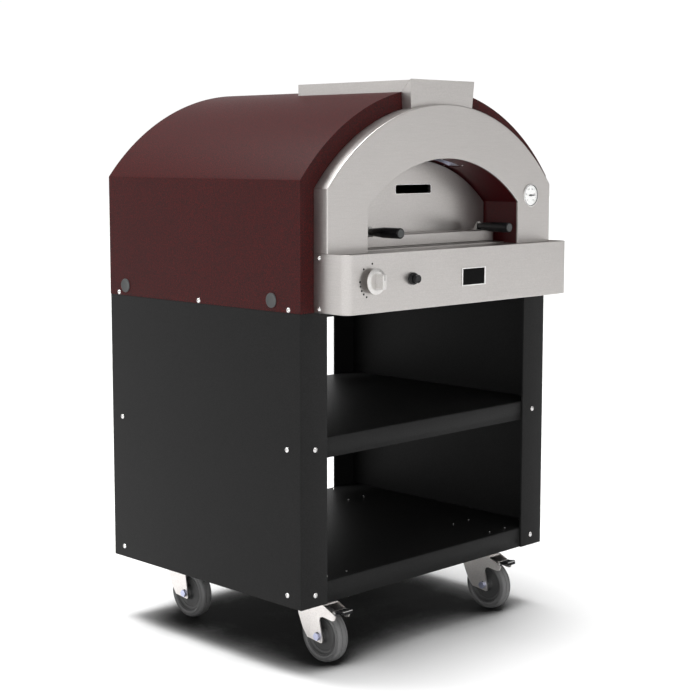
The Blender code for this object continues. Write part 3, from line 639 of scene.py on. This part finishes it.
def shelf(node, rails=()):
    """A folded tray, and under it any pairs of angle rails that carry the casters."""
    low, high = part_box(node)
    bm = box_mesh(low, high)
    under = [f for f in bm.faces if f.normal.z < -0.5]
    bmesh.ops.delete(bm, geom=under, context="FACES")
    folds = [e for e in bm.edges if not e.is_boundary]
    bmesh.ops.bevel(bm, geom=folds, offset=BEND, segments=4, profile=0.5, affect="EDGES")
    made = new_object(node + "_tray", bm, BLACK)
    smooth(made, 40)
    thick = made.modifiers.new("sheet", "SOLIDIFY")
    thick.thickness = SHEET
    thick.offset = -1
    thick.use_even_offset = True
    piece(made, ROOT, "black", node)
    half = 0.076
    foot = 0.032
    for end, y in zip(("front", "rear"), rails):
        for side, turn in (("ahead", 1), ("behind", -1)):
            section = [
                (-half, low.z), (-half + foot, low.z), (-half + foot, low.z + SHEET),
                (-half + SHEET, low.z + SHEET), (-half + SHEET, high.z - SHEET),
                (-half, high.z - SHEET),
            ]
            section = rounded(section, BEND * 0.8, 4, only=(0,))
            section = [(y + turn * u, v) for u, v in section]
            rail = prism(f"{end}_{side}_rail", section, "X", low.x + 0.058, high.x - 0.058, BLACK)
            piece(eased(rail, 0.0004), ROOT, "black")


# ---------------------------------------------------------------- oven body
def shell():
    half = SHELL_HIGH.x
    outer = arch(half, SHELL_LOW.z, SHELL_CENTRE, SHELL_RADIUS, 0.0040, 96)
    made = prism("shell_sheet", outer, "Y", SHELL_LOW.y, SHELL_HIGH.y, BURGUNDY)
    hollow = arch(half - SHEET, SHELL_LOW.z - PAST, SHELL_CENTRE, SHELL_RADIUS - SHEET, 0.0020, 96)
    cut(made, prism("cutter", hollow, "Y", SHELL_LOW.y + SHEET, SHELL_HIGH.y + PAST))
    gap = 0.0035
    mouth = arch(MOUTH_HALF + gap, LEDGE - 0.0020, MOUTH_CENTRE, MOUTH_RADIUS + gap)
    cut(made, prism("cutter", mouth, "Y", SHELL_LOW.y - PAST, SHELL_LOW.y + PAST))
    low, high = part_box("flue_duct")
    neck = 0.1002
    cut(made, block("cutter", (-neck, low.y - 0.0004, 1.20), (neck, high.y + 0.0004, 1.40)))
    for end in ("front", "rear"):
        plug = middle(end + "_left_plug")
        cut(made, drill((0, plug.y, plug.z), "X", 0.0138, 2 * half + 0.1, 32))
    piece(eased(applied(made)), ROOT, "burgundy", "oven_shell")


def mouth_lining():
    reach = LINING_REACH
    outer = arch(MOUTH_HALF + reach, LINING_LOW.z, MOUTH_CENTRE, MOUTH_RADIUS + reach)
    made = prism("lining_sheet", outer, "Y", LINING_LOW.y, LINING_HIGH.y, LINING)
    reach -= SHEET
    inner = arch(MOUTH_HALF + reach, LINING_LOW.z - PAST, MOUTH_CENTRE, MOUTH_RADIUS + reach)
    cut(made, prism("cutter", inner, "Y", LINING_LOW.y - PAST, LINING_HIGH.y + PAST))
    low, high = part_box("flue_duct")
    flange = 0.0018
    start = (low.x + flange, low.y + flange, 1.05)
    cut(made, block("cutter", start, (high.x - flange, high.y - flange, 1.25)))
    piece(eased(applied(made), 0.0004), ROOT, "burgundy", "mouth_lining")


def hood():
    half = HOOD_HIGH.x
    legs = half - SHEET - 0.0006
    foot = CONSOLE_HIGH.z + 0.0003
    lip = LINING_LOW.y - 0.0003
    outline = arch(half, foot, HOOD_CENTRE, HOOD_RADIUS, 0.0040, 96)
    outline += [(-legs, foot), (-legs, HOOD_LOW.z), (legs, HOOD_LOW.z), (legs, foot)]
    made = prism("hood_sheet", outline, "Y", HOOD_LOW.y, HOOD_HIGH.y, STEEL_X)
    made.data.materials.append(STEEL_Y)
    hollow = arch(half - SHEET, HOOD_LOW.z - PAST, HOOD_CENTRE, HOOD_RADIUS - SHEET, 0.0020, 96)
    cut(made, prism("cutter", hollow, "Y", HOOD_LOW.y + SHEET, HOOD_HIGH.y + PAST))
    collar = arch(MOUTH_HALF + SHEET, HOOD_LOW.z, MOUTH_CENTRE, MOUTH_RADIUS + SHEET)
    cut(made, prism("cutter", collar, "Y", HOOD_LOW.y + SHEET / 2, lip), "UNION")
    mouth = arch(MOUTH_HALF, HOOD_LOW.z - PAST, MOUTH_CENTRE, MOUTH_RADIUS)
    cut(made, prism("cutter", mouth, "Y", HOOD_LOW.y - PAST, HOOD_LOW.y + PAST))
    dial = middle("thermometer_dial")
    cut(made, drill((dial.x, HOOD_LOW.y, dial.z), "Y", 0.0267))
    grain_by_face(applied(made))

    def outer_fold(place, _):
        if place.y > HOOD_LOW.y + 0.0005 or place.z < foot + 0.001:
            return 0
        away = math.hypot(place.x, place.z - HOOD_CENTRE)
        if abs(place.x) > half - 0.004 or away > HOOD_RADIUS - 0.004:
            return 1.0
        return 0.5 if abs(place.x) < MOUTH_HALF + 0.001 else 0

    piece(folded(made, outer_fold, 0.0026, 0.0007), ROOT, "steel", "hood")


def drill(place, axis, radius, length=0.02, segments=48):
    """A round bar that cuts a hole."""
    bm = bar_mesh(segments, radius, radius, length)
    bmesh.ops.transform(bm, matrix=Matrix.Translation(place) @ TURNS[axis], verts=bm.verts)
    return new_object("cutter", bm)


def grain_by_face(obj):
    """Sheets that run back from the front are brushed along their length."""
    for face in obj.data.polygons:
        face.material_index = int(abs(face.normal.y) < 0.5)


def console():
    corner = 0.020
    low, high = CONSOLE_LOW, CONSOLE_HIGH

    def tray(inset, back):
        return tub(high.x, low.y, corner, inset, back)

    made = prism("console_sheet", tray(0, high.y), "Z", low.z, high.z, STEEL_X)
    made.data.materials.append(STEEL_Y)
    cut(made, prism("cutter", tray(SHEET, high.y + 0.02), "Z", low.z + SHEET, LEDGE - SHEET))
    cut(made, prism("cutter", tray(SHEET, high.y + 0.02), "Z", LEDGE, high.z + PAST))
    for node, radius in (("control_knob", 0.0065), ("igniter_collar", 0.0112)):
        place = middle(node)
        cut(made, drill((place.x, low.y, place.z), "Y", radius))
    applied(made)
    for face in made.data.polygons:
        face.material_index = int(abs(face.normal.x) > 0.75)

    def lower_fold(place, _):
        outside = place.y < low.y + 0.0005 or abs(place.x) > high.x - 0.0005
        turned = abs(place.x) > high.x - corner and place.y < low.y + corner
        rim = math.hypot(abs(place.x) - high.x + corner, place.y - low.y - corner) > corner - 0.0005
        return place.z < low.z + 0.0005 and (outside or (turned and rim))

    piece(folded(made, lower_fold, 0.0026, 0.0006), ROOT, "steel", "console")


def door():
    """A shallow pan with a vent slot; along its foot stands a folded box with turned corners."""
    face = DOOR_HIGH.y - 0.010
    back = DOOR_HIGH.y
    foot = DOOR_LOW.z
    radius = DOOR_HIGH.z - MOUTH_CENTRE
    flap_top = above_foot(0.803)
    slot_low = above_foot(0.893)
    slot_high = slot_low + 0.0200

    def plan(inset, rear):
        return tub(FLAP_HALF, DOOR_LOW.y, FLAP_CORNER, inset, rear)

    def flap(inset, rear):
        return prism("cutter", plan(inset, rear), "Z", foot + inset, flap_top - inset)

    def slot_shape(grow):
        reach = SLOT_HALF + grow
        low = slot_low - grow
        high = slot_high + grow
        return rounded(rectangle(-reach, low, reach, high), SLOT_RADIUS + grow, 5)

    outline = arch(DOOR_HALF, foot, MOUTH_CENTRE, radius, 0.0020)
    made = prism("door_sheet", outline, "Y", face, back, STEEL_X)
    cut(made, flap(0, back - 0.002), "UNION")
    inner = arch(DOOR_HALF - DOOR_SKIN, foot + DOOR_SKIN, MOUTH_CENTRE, radius - DOOR_SKIN, 0.001)
    cut(made, prism("cutter", inner, "Y", face + DOOR_SKIN, back + PAST))
    cut(made, flap(DOOR_SKIN, back - 0.003))
    for grow, depth, operation in ((0.0020, 0.0, "UNION"), (0.0, 0.02, "DIFFERENCE")):
        ring = prism("cutter", slot_shape(grow), "Y", face + 0.0005 - depth, back - 0.0005 + depth)
        cut(made, ring, operation)
    applied(made)

    def flap_fold(place, _):
        return place.y < face - 0.002 and min(abs(place.z - flap_top), abs(place.z - foot)) < 0.0005

    piece(folded(made, flap_fold, 0.0022, 0.0006), "door", "steel", "oven_door")
    hem = prism("door_hem", plan(0, face), "Z", foot - 0.0017, foot - 0.0004, STEEL_X)
    cut(hem, prism("cutter", plan(DOOR_SKIN, face + PAST), "Z", foot - PAST, foot + PAST))
    piece(eased(applied(hem), 0.0003), "door", "steel")
    # The raised rim is real; its brighter, glossier screw steel, lighter than the door, is a painted
    # highlight along the slot's edge.
    rim = prism("slot_rim", slot_shape(0.0016), "Y", face - 0.0005, face + 0.0010, SCREW)
    cut(rim, prism("cutter", slot_shape(0.0), "Y", face - PAST, face + PAST))
    piece(eased(applied(rim), 0.0003), "door", "steel")


def handle_bracket(side):
    """A round-topped tab with two thin fins that run back to the flap."""
    place = middle(side + "_door_handle")
    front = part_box(side + "_door_handle")[1].y + 0.0003
    top = above_foot(0.8235)
    low = above_foot(0.8024)
    outline = rounded(rectangle(place.x - 0.008, low, place.x + 0.008, top), 0.0055, 6, only=(2, 3))
    tab = prism(side + "_bracket_tab", outline, "Y", front, front + 0.0020, SHADED_BRACKET_STEEL)
    piece(eased(tab, 0.0005), "door", "steel")
    fin = [(front + 0.0018, low), (front + 0.0127, low), (front + 0.0018, top - 0.0035)]
    for end, x in (("inner", place.x - 0.0080), ("outer", place.x + 0.0066)):
        made = prism(f"{side}_bracket_{end}_fin", fin, "X", x, x + 0.0014, SHADED_BRACKET_STEEL)
        piece(eased(made, 0.0003), "door", "steel")


def door_handles():
    """Tapered black grips, drawn in towards the bracket, with a ringed end cap whose grey is a painted
    reflection.
    """
    for side in ("left", "right"):
        node = side + "_door_handle"
        low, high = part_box(node)
        base = ((low.x + high.x) / 2, high.y, (low.z + high.z) / 2)
        length = high.y - low.y
        grip = [
            (0.0, length - 0.0010), (0.0094, length - 0.0010), (0.0100, length - 0.0004),
            (0.0112, length - 0.0012), (0.0118, length - 0.0030), (0.0119, length - 0.0065),
            (0.0118, 0.0430), (0.0115, 0.0400), (0.0096, 0.0200), (0.0076, 0.0012), (0.0070, 0.0),
            (0.0, 0.0),
        ]
        cap = [
            (0.0, length - 0.0002), (0.0050, length - 0.0002), (0.0053, length - 0.0006),
            (0.0057, length - 0.0006), (0.0060, length - 0.0002), (0.0088, length - 0.0002),
            (0.0093, length - 0.0007), (0.0093, length - 0.0012), (0.0, length - 0.0012),
        ]
        piece(lathe(side + "_grip", grip, "-Y", base, PHENOLIC), "door", "phenolic", node)
        piece(lathe(side + "_grip_cap", cap, "-Y", base, CAP_PAINTED_REFLECTION), "door", "phenolic")
        handle_bracket(side)


# ---------------------------------------------------------------- chimney, sill and flue
def sheet_from(node):
    """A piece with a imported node's own mesh, in shared coordinates, to be finished further."""
    mesh = NODES[node].data.copy()
    mesh.transform(NODES[node].matrix_world)
    return linked(node + "_sheet", mesh)


def chimney():
    """Folded sheet: the front piece's two long bends are rounder than its cut edges."""
    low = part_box("chimney_front")[0]
    made = sheet_from("chimney_front")

    def upright(place, edge):
        a, b = edge.verts
        run = (b.co - a.co).normalized()
        return abs(run.z) > 0.9 and abs(place.x) > 0.09 and place.y < low.y + 0.006

    piece(folded(made, upright, 0.0036, 0.0006), ROOT, "steel", "chimney_front")
    eased(NODES["chimney_cover"], 0.0010, 3)
    eased(NODES["sill_plate"], 0.0006)
    eased(NODES["flue_duct"], 0.0005)


# ---------------------------------------------------------------- knob, igniter, badge and thermometer
def knob():
    """A thin bevelled skirt on a neck, with a stepped finger bar across its face."""
    low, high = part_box("control_knob")
    x = (low.x + high.x) / 2
    z = (low.z + high.z) / 2
    panel = high.y + 0.0012
    skirt = [
        (0.0, 0.0163), (0.0195, 0.0163), (0.0205, 0.0165), (0.0212, 0.0163), (0.0272, 0.0139),
        (0.0279, 0.0134), (0.0280, 0.0127), (0.0280, 0.0119), (0.0277, 0.0115), (0.0128, 0.0115),
        (0.0120, 0.0109), (0.0120, 0.0014), (0.0118, 0.0012), (0.0, 0.0012),
    ]
    made = lathe("knob_skirt", skirt, "-Y", (x, panel, z), SILVER, 96)
    bar = rectangle(x - 0.0058, z - 0.0160, x + 0.0058, z + 0.0160)
    foot = prism("knob_bar_foot", rounded(bar, 0.0014, 4), "Y", panel - 0.0220, panel - 0.0150, SILVER)
    slim = [(x + (u - x) * 0.94, z + (v - z) * 0.975) for u, v in bar]
    top = prism("knob_bar", rounded(slim, 0.0012, 4), "Y", low.y, panel - 0.0216, SILVER)
    start = (x - 0.0006, low.y - 0.00008, z + 0.0030)
    mark = block("knob_mark", start, (x + 0.0006, low.y + 0.0006, z + 0.0145), INK)
    piece(made, "knob", "steel", "control_knob")
    piece(eased(foot, 0.0005), "knob", "steel")
    piece(eased(top, 0.0007, 3), "knob", "steel")
    piece(mark, "knob", "phenolic")
    for i, angle in enumerate((0, -44, -90, -105, -121, -136, -153)):
        turn = math.radians(angle)
        place = (x + 0.037 * math.sin(turn), panel, z + 0.037 * math.cos(turn))
        dot = [(0.0, 0.00016), (0.0021, 0.00016), (0.0023, 0.00008), (0.0023, -0.0001), (0.0, -0.0001)]
        piece(lathe(f"dial_dot_{i + 1}", dot, "-Y", place, INK, 20), ROOT, "phenolic")


def igniter():
    """A stepped black collar, and a spring button with a hollow in its face."""
    centre = middle("igniter_collar")
    place = (centre.x, CONSOLE_LOW.y, centre.z)
    collar = [
        (0.0099, -0.0100), (0.0099, 0.0082), (0.0103, 0.0086), (0.0116, 0.0086), (0.0124, 0.0080),
        (0.0128, 0.0066), (0.0130, 0.0052), (0.0136, 0.0046), (0.0137, 0.0030), (0.0136, 0.0010),
        (0.0132, 0.0004), (0.0108, 0.0003), (0.0108, -0.0255), (0.0104, -0.0259), (0.0, -0.0259),
        (0.0, -0.0150), (0.0098, -0.0150),
    ]
    ring = lathe("igniter_ring", collar, "-Y", place, PHENOLIC, 64, True)
    piece(ring, ROOT, "phenolic", "igniter_collar")
    button = [
        (0.0, 0.0182), (0.0058, 0.0184), (0.0066, 0.0191), (0.0078, 0.0192), (0.0088, 0.0185),
        (0.0093, 0.0172), (0.0094, 0.0150), (0.0094, -0.0086), (0.0092, -0.0090), (0.0, -0.0090),
    ]
    cap = lathe("igniter_cap", button, "-Y", place, PHENOLIC, 64)
    piece(cap, "igniter", "phenolic", "igniter_button")


def badge():
    """A blank black plate in a bright raised rim."""
    low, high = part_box("badge_plate")
    across = 0.0042
    up = 0.0024
    shape = rounded(rectangle(low.x, low.z, high.x, high.z), 0.0012, 4)
    rim = prism("badge_rim", shape, "Y", low.y, high.y, SCREW)
    inner = rounded(rectangle(low.x + across, low.z + up, high.x - across, high.z - up), 0.0008, 4)
    cut(rim, prism("cutter", inner, "Y", low.y - PAST, low.y + 0.0005))
    piece(eased(applied(rim), 0.0004, 3), ROOT, "phenolic", "badge_plate")
    plate = prism("badge_field", inner, "Y", low.y + 0.0003, low.y + 0.0008, INK)
    piece(plate, ROOT, "phenolic")


def thermometer():
    """A flush white dial in a slim case, with a ring of ticks, small numbers and a black needle."""
    low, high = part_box("thermometer_dial")
    x = (low.x + high.x) / 2
    z = (low.z + high.z) / 2
    panel = HOOD_LOW.y
    case = [
        (0.0252, -0.0010), (0.0252, 0.0022), (0.0255, 0.0027), (0.0262, 0.0028), (0.0270, 0.0026),
        (0.0276, 0.0019), (0.0277, 0.0004), (0.0264, 0.0003), (0.0264, -0.0078), (0.0258, -0.0084),
        (0.0060, -0.0095), (0.0050, -0.0100), (0.0050, -0.0290), (0.0042, -0.0299), (0.0, -0.0299),
        (0.0, -0.0012),
    ]
    piece(lathe("dial_case", case, "-Y", (x, panel, z), SCREW, 72, True), ROOT, "steel", "thermometer_case")
    # A thin black ring on the bezel's inner edge: painted shade for the recess between case and dial.
    painted_shade_ring = [(0.0246, 0.0020), (0.0246, 0.0026), (0.0256, 0.0029), (0.0256, 0.0020)]
    piece(lathe("dial_gasket", painted_shade_ring, "-Y", (x, panel, z), INK, 72, True), ROOT, "phenolic")
    face = low.y
    for i in range(28):
        turn = math.radians(-135 + 270 * i / 27)
        major = i % 3 == 0
        inner = 0.0196 if major else 0.0208
        wide = 0.00032 if major else 0.00018
        bm = box_mesh((-wide, -0.00005, inner), (wide, 0.00005, 0.0226))
        bmesh.ops.rotate(bm, verts=bm.verts, matrix=Matrix.Rotation(turn, 3, "Y"))
        bmesh.ops.translate(bm, verts=bm.verts, vec=(x, face - 0.00003, z))
        piece(new_object(f"dial_tick_{i + 1:02d}", bm, PRINT), ROOT, "phenolic")
    for i in range(6):
        turn = math.radians(-135 + 54 * i)
        number = bpy.data.curves.new(f"dial_number_{i}", "FONT")
        number.body = str(100 * i)
        number.size = 0.0050
        number.align_x = "CENTER"
        number.align_y = "CENTER"
        number.extrude = 0.00004
        label = linked(f"dial_number_{i}", number)
        label.location = (x + 0.0160 * math.sin(turn), face - 0.00004, z + 0.0160 * math.cos(turn))
        label.rotation_euler = (math.radians(90), 0, 0)
        number.materials.append(PRINT)
        piece(label, ROOT, "phenolic")
    low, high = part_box("thermometer_needle")
    hub = [(0.0, 0.0), (0.0021, 0.0), (0.0023, -0.0002), (0.0023, -0.0005), (0.0, -0.0005)]
    piece(lathe("needle_hub", hub, "-Y", (x, low.y, z), INK, 32), "needle", "phenolic")


# ---------------------------------------------------------------- plugs and casters
def plugs():
    """Hollow-faced caps pressed into the shell's side holes."""
    for corner in CORNERS:
        node = corner + "_plug"
        low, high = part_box(node)
        side = "-X" if "left" in corner else "X"
        x = SHELL_LOW.x if "left" in corner else SHELL_HIGH.x
        profile = [
            (0.0, 0.0009), (0.0060, 0.0010), (0.0110, 0.0014), (0.0138, 0.0020), (0.0152, 0.0022),
            (0.0162, 0.0017), (0.0165, 0.0009), (0.0163, 0.0003), (0.0133, 0.0003), (0.0128, -0.0085),
            (0.0122, -0.0089), (0.0, -0.0089),
        ]
        place = (x, (low.y + high.y) / 2, (low.z + high.z) / 2)
        piece(lathe(corner + "_cap", profile, side, place, PLUG, 48), ROOT, "phenolic", node)


def wheels():
    """A ribbed grey tyre with two tread grooves, on a dished hub."""
    tread = [
        (0.0625, 0.0), (0.0625, 0.0046), (0.0612, 0.0051), (0.0612, 0.0062), (0.0625, 0.0067),
        (0.0623, 0.0086), (0.0614, 0.0108), (0.0598, 0.0128), (0.0578, 0.0146), (0.0570, 0.0150),
        (0.0564, 0.0149), (0.0561, 0.0138), (0.0550, 0.0138), (0.0547, 0.0152), (0.0536, 0.0156),
        (0.0531, 0.0146), (0.0519, 0.0147), (0.0515, 0.0159), (0.0496, 0.0160), (0.0484, 0.0154),
        (0.0471, 0.0138), (0.0466, 0.0132),
    ]
    dish = [
        (0.0462, 0.0124), (0.0452, 0.0128), (0.0440, 0.0124), (0.0425, 0.0102), (0.0405, 0.0088),
        (0.0372, 0.0081), (0.0366, 0.0087), (0.0352, 0.0087), (0.0346, 0.0079), (0.0205, 0.0073),
        (0.0180, 0.0080), (0.0166, 0.0098), (0.0158, 0.0140), (0.0152, 0.0178), (0.0145, 0.0185),
        (0.0058, 0.0185), (0.0052, 0.0180),
    ]
    for corner in CORNERS:
        place = middle(corner + "_caster_tyre")
        tyre = ("tyre", tread, tread[1:], RUBBER, "grey_rubber")
        hub = ("hub", dish, dish, HUB, "grey_plastic")
        for name, side, mirrored, material, slot in (tyre, hub):
            ring = [(r, -w) for r, w in reversed(mirrored)] + side
            made = lathe(f"{corner}_{name}_round", ring, "X", place, material, 96, True)
            piece(made, corner + "_wheel", slot, f"{corner}_caster_{name}")


def clamped(share):
    return min(1, max(0, share))


def casters():
    """Rounded edges on the pressed parts, raised fork cheeks and a dust ring round each ball race."""
    ring = [(0.0262, -0.0117), (0.0288, -0.0112), (0.0295, -0.0121), (0.0286, -0.0133), (0.0262, -0.0150)]
    for corner in CORNERS:
        eased(NODES[corner + "_caster_plate"], 0.0006, 2)
        wheel = middle(corner + "_caster_tyre")
        cheeks = sheet_from(corner + "_caster_fork")
        for vert in cheeks.data.vertices:
            height = vert.co.z - wheel.z
            ahead = vert.co.y - wheel.y
            share = clamped((0.058 - height) / 0.012) * clamped((0.045 - ahead) / 0.02)
            vert.co.z += CHEEK_LIFT * share
        piece(eased(cheeks, 0.0007, 3, 25), corner + "_swivel", "zinc", corner + "_caster_fork")
        eased(NODES[corner + "_caster_axle"], 0.0004, 2)
        plate_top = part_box(corner + "_caster_plate")[1].z
        place = (middle(corner + "_caster_fork").x, wheel.y + SWIVEL_TRAIL, plate_top)
        piece(lathe(corner + "_dust_ring", ring, "Z", place, SCREW, 64, True), ROOT, "zinc")


def pedals():
    """Black pressed levers with two windows, turned-down sides and a bright curled toe."""
    half = PEDAL_HALF
    flange = 0.0016
    plate = [
        (-0.0285, 0.0600), (-0.0480, 0.0665), (-0.0690, 0.0705), (-0.0727, 0.0690), (-0.0737, 0.0612),
        (-0.0718, 0.0612), (-0.0711, 0.0678), (-0.0686, 0.0688), (-0.0480, 0.0646), (-0.0290, 0.0582),
    ]
    cheek = [
        (-0.0300, 0.0594), (-0.0480, 0.0655), (-0.0690, 0.0694), (-0.0690, 0.0640), (-0.0480, 0.0590),
        (-0.0300, 0.0560),
    ]
    lip = [
        (-0.0709, 0.0702), (-0.0730, 0.0694), (-0.0738, 0.0680), (-0.0732, 0.0679), (-0.0722, 0.0690),
        (-0.0706, 0.0697),
    ]
    pin = [
        (0.0, 0.0205), (0.0036, 0.0205), (0.0042, 0.0199), (0.0042, -0.0199), (0.0036, -0.0205),
        (0.0, -0.0205),
    ]
    for side in ("left", "right"):
        body = f"front_{side}_pedal"
        wheel = middle(f"front_{side}_caster_tyre")

        def pressed(name, outline, low, high, material):
            placed = [(wheel.y + u, wheel.z + v) for u, v in outline]
            return prism(f"{side}_pedal_{name}", placed, "X", wheel.x + low, wheel.x + high, material)

        made = pressed("plate", rounded(plate, 0.0009, 3, only=(1, 8)), -half, half, BLACK_ZINC)
        for low, high in ((-0.0500, -0.0400), (-0.0650, -0.0540)):
            window = rectangle(wheel.x - 0.0095, wheel.y + low, wheel.x + 0.0095, wheel.y + high)
            cut(made, prism("cutter", rounded(window, 0.0022, 4), "Z", wheel.z + 0.055, wheel.z + 0.085))
        piece(eased(applied(made), 0.0005), body, "zinc", f"front_{side}_brake_pedal")
        for end, x in (("left", -half), ("right", half - flange)):
            made = pressed(end + "_cheek", cheek, x, x + flange, BLACK_ZINC)
            piece(eased(made, 0.0004), body, "zinc")
        piece(eased(pressed("toe", lip, -half, half, SCREW), 0.0002), body, "zinc")
        place = (wheel.x, wheel.y - 0.046, wheel.z + 0.0625)
        piece(lathe(f"{side}_pedal_pin", pin, "X", place, SCREW, 24), body, "zinc")


# ---------------------------------------------------------------- screws
def screw_mesh():
    """A flanged button screw with a hexagon socket, standing out along its own +Z from the panel."""
    profile = [
        (0.0, 0.0), (0.0055, 0.0), (0.00575, 0.0003), (0.0055, 0.0008), (0.0044, 0.0010),
        (0.0041, 0.0019), (0.0034, 0.0027), (0.0022, 0.0031), (0.0, 0.0032),
    ]
    made = lathe("screw", list(reversed(profile)), "Z", (0, 0, 0), SCREW, 24)
    bm = bar_mesh(6, 0.0018, 0.0020, 0.004)
    bmesh.ops.translate(bm, verts=bm.verts, vec=(0, 0, 0.0033))
    cut(made, new_object("cutter", bm))
    return loose_mesh(applied(made))


def screws(mesh):
    places = []
    low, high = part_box("left_side_panel")
    for x, axis in ((low.x, "-X"), (-low.x, "X")):
        for y in (0.0438, 0.6314):
            for z in SCREW_ROWS:
                places.append(((x, low.y + y, low.z + z), axis))
        for y in (0.0374, 0.3374, 0.6372):
            places.append(((x, low.y + y, low.z + 0.6527), axis))
    for y, axis in ((low.y, "-Y"), (high.y, "Y")):
        for x in (low.x + SCREW_INSET, -low.x - SCREW_INSET):
            for z in SCREW_ROWS:
                places.append(((x, y, low.z + z), axis))
    for x, axis in ((CONSOLE_LOW.x, "-X"), (CONSOLE_HIGH.x, "X")):
        for z in (0.0088, 0.1179):
            places.append(((x, CONSOLE_HIGH.y - 0.0157, CONSOLE_LOW.z + z), axis))
    placed_copies("screw", mesh, places)


def placed_copies(stem, mesh, places):
    """One shared mesh at each listed (place, axis)."""
    for i, (place, axis) in enumerate(places):
        made = linked(f"{stem}_{i + 1:02d}", mesh)
        made.matrix_world = Matrix.Translation(place) @ TURNS[axis]
        piece(made, ROOT, "zinc")


def loose_mesh(made):
    mesh = made.data
    bpy.data.objects.remove(made)
    return mesh


def caster_bolts():
    """Each caster plate's four bolts: hexagon heads below, thread ends just through the shelf above."""
    shelf_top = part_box("bottom_shelf")[1].z
    tip = [(0.0, 0.0024), (0.0016, 0.0024), (0.0022, 0.0018), (0.0022, -0.0004), (0.0, -0.0004)]
    head = loose_mesh(new_object("bolt_head", bar_mesh(6, 0.0072, 0.0072, 0.0040), SCREW))
    head.shade_smooth()
    tips = []
    heads = []
    for corner in CORNERS:
        low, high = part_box(corner + "_caster_plate")
        centre = (low + high) / 2
        inward = 0.007 if "left" in corner else -0.007
        for x in (centre.x + inward - 0.0300, centre.x + inward + 0.0300):
            for y in (centre.y - 0.059, centre.y + 0.059):
                tips.append(((x, y, shelf_top), "Z"))
                heads.append(((x, y, high.z - 0.0056), "Z"))
    placed_copies("bolt_tip", loose_mesh(lathe("tip", tip, "Z", (0, 0, 0), SCREW, 20)), tips)
    placed_copies("bolt_head", head, heads)


def back_screws(mesh):
    """The rear panel's row of screws round the arch."""
    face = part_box("back_panel")[1].y
    reach = SHELL_RADIUS - 0.030
    places = []
    for x in (-0.385, 0.385):
        for z in (0.030, 0.150, 0.270):
            places.append(((x, face, SHELL_LOW.z + z), "Y"))
    for i in range(7):
        turn = math.radians(-36 + 12 * i)
        places.append(((reach * math.sin(turn), face, SHELL_CENTRE + reach * math.cos(turn)), "Y"))
    placed_copies("back_screw", mesh, places)


def flue_rivets():
    """Domed rivets that hold the duct's flange, either side of its opening in the lining."""
    low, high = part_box("flue_duct")
    radius = MOUTH_RADIUS + 0.0006
    rim = 0.0024
    dome = [(0.0, 0.45), (0.6, 0.38), (0.92, 0.18), (1.0, 0.0)]
    head = [(rim * r, rim * h) for r, h in dome] + [(0.0, -0.0004)]
    for end, y in (("front", low.y - 0.010), ("rear", high.y + 0.006)):
        for i, x in enumerate((-0.112, -0.040, 0.040, 0.112)):
            turn = math.asin(x / radius)
            z = MOUTH_CENTRE + radius * math.cos(turn)
            made = lathe(f"flue_rivet_{end}_{i + 1}", head, "-Z", (0, 0, 0), SCREW, 20)
            piece(made, ROOT, "zinc")
            made.matrix_world = Matrix.Translation((x, y, z)) @ Matrix.Rotation(turn, 4, "Y")


# ---------------------------------------------------------------- plain nodes keep their shape
PLAIN = {
    "stand_top_plate": BLACK,
    "oven_base_plate": BLACK,
    "back_panel": BURGUNDY,
    "floor_insulation": WOOL,
    "dome_insulation": WOOL,
    "left_hearth_stone": STONE,
    "right_hearth_stone": STONE,
    "oven_dome": SOOTY,
    "sill_plate": STEEL_X,
    "flue_duct": DUCT,
    "chimney_front": STEEL_X,
    "chimney_cover": STEEL_Y,
    "burner_tube": SOOTY,
    "gas_pipe": COPPER,
    "gas_valve": BRASS,
    "thermometer_dial": DIAL,
    "thermometer_glass": GLASS,
    "thermometer_needle": INK,
}
for corner in CORNERS:
    PLAIN[corner + "_caster_plate"] = ZINC
    PLAIN[corner + "_caster_fork"] = ZINC
    PLAIN[corner + "_caster_axle"] = BLUE_ZINC

make_camera()
make_studio()
for plain_node, coat in PLAIN.items():
    NODES[plain_node].material_slots[0].material = coat
side_panels()
shelf("middle_shelf")
shelf("bottom_shelf", [middle(end + "_left_caster_plate").y for end in ("front", "rear")])
shell()
mouth_lining()
hood()
console()
door()
door_handles()
chimney()
flue_rivets()
knob()
igniter()
badge()
thermometer()
plugs()
casters()
wheels()
pedals()
caster_bolts()
screw = screw_mesh()
screws(screw)
back_screws(screw)
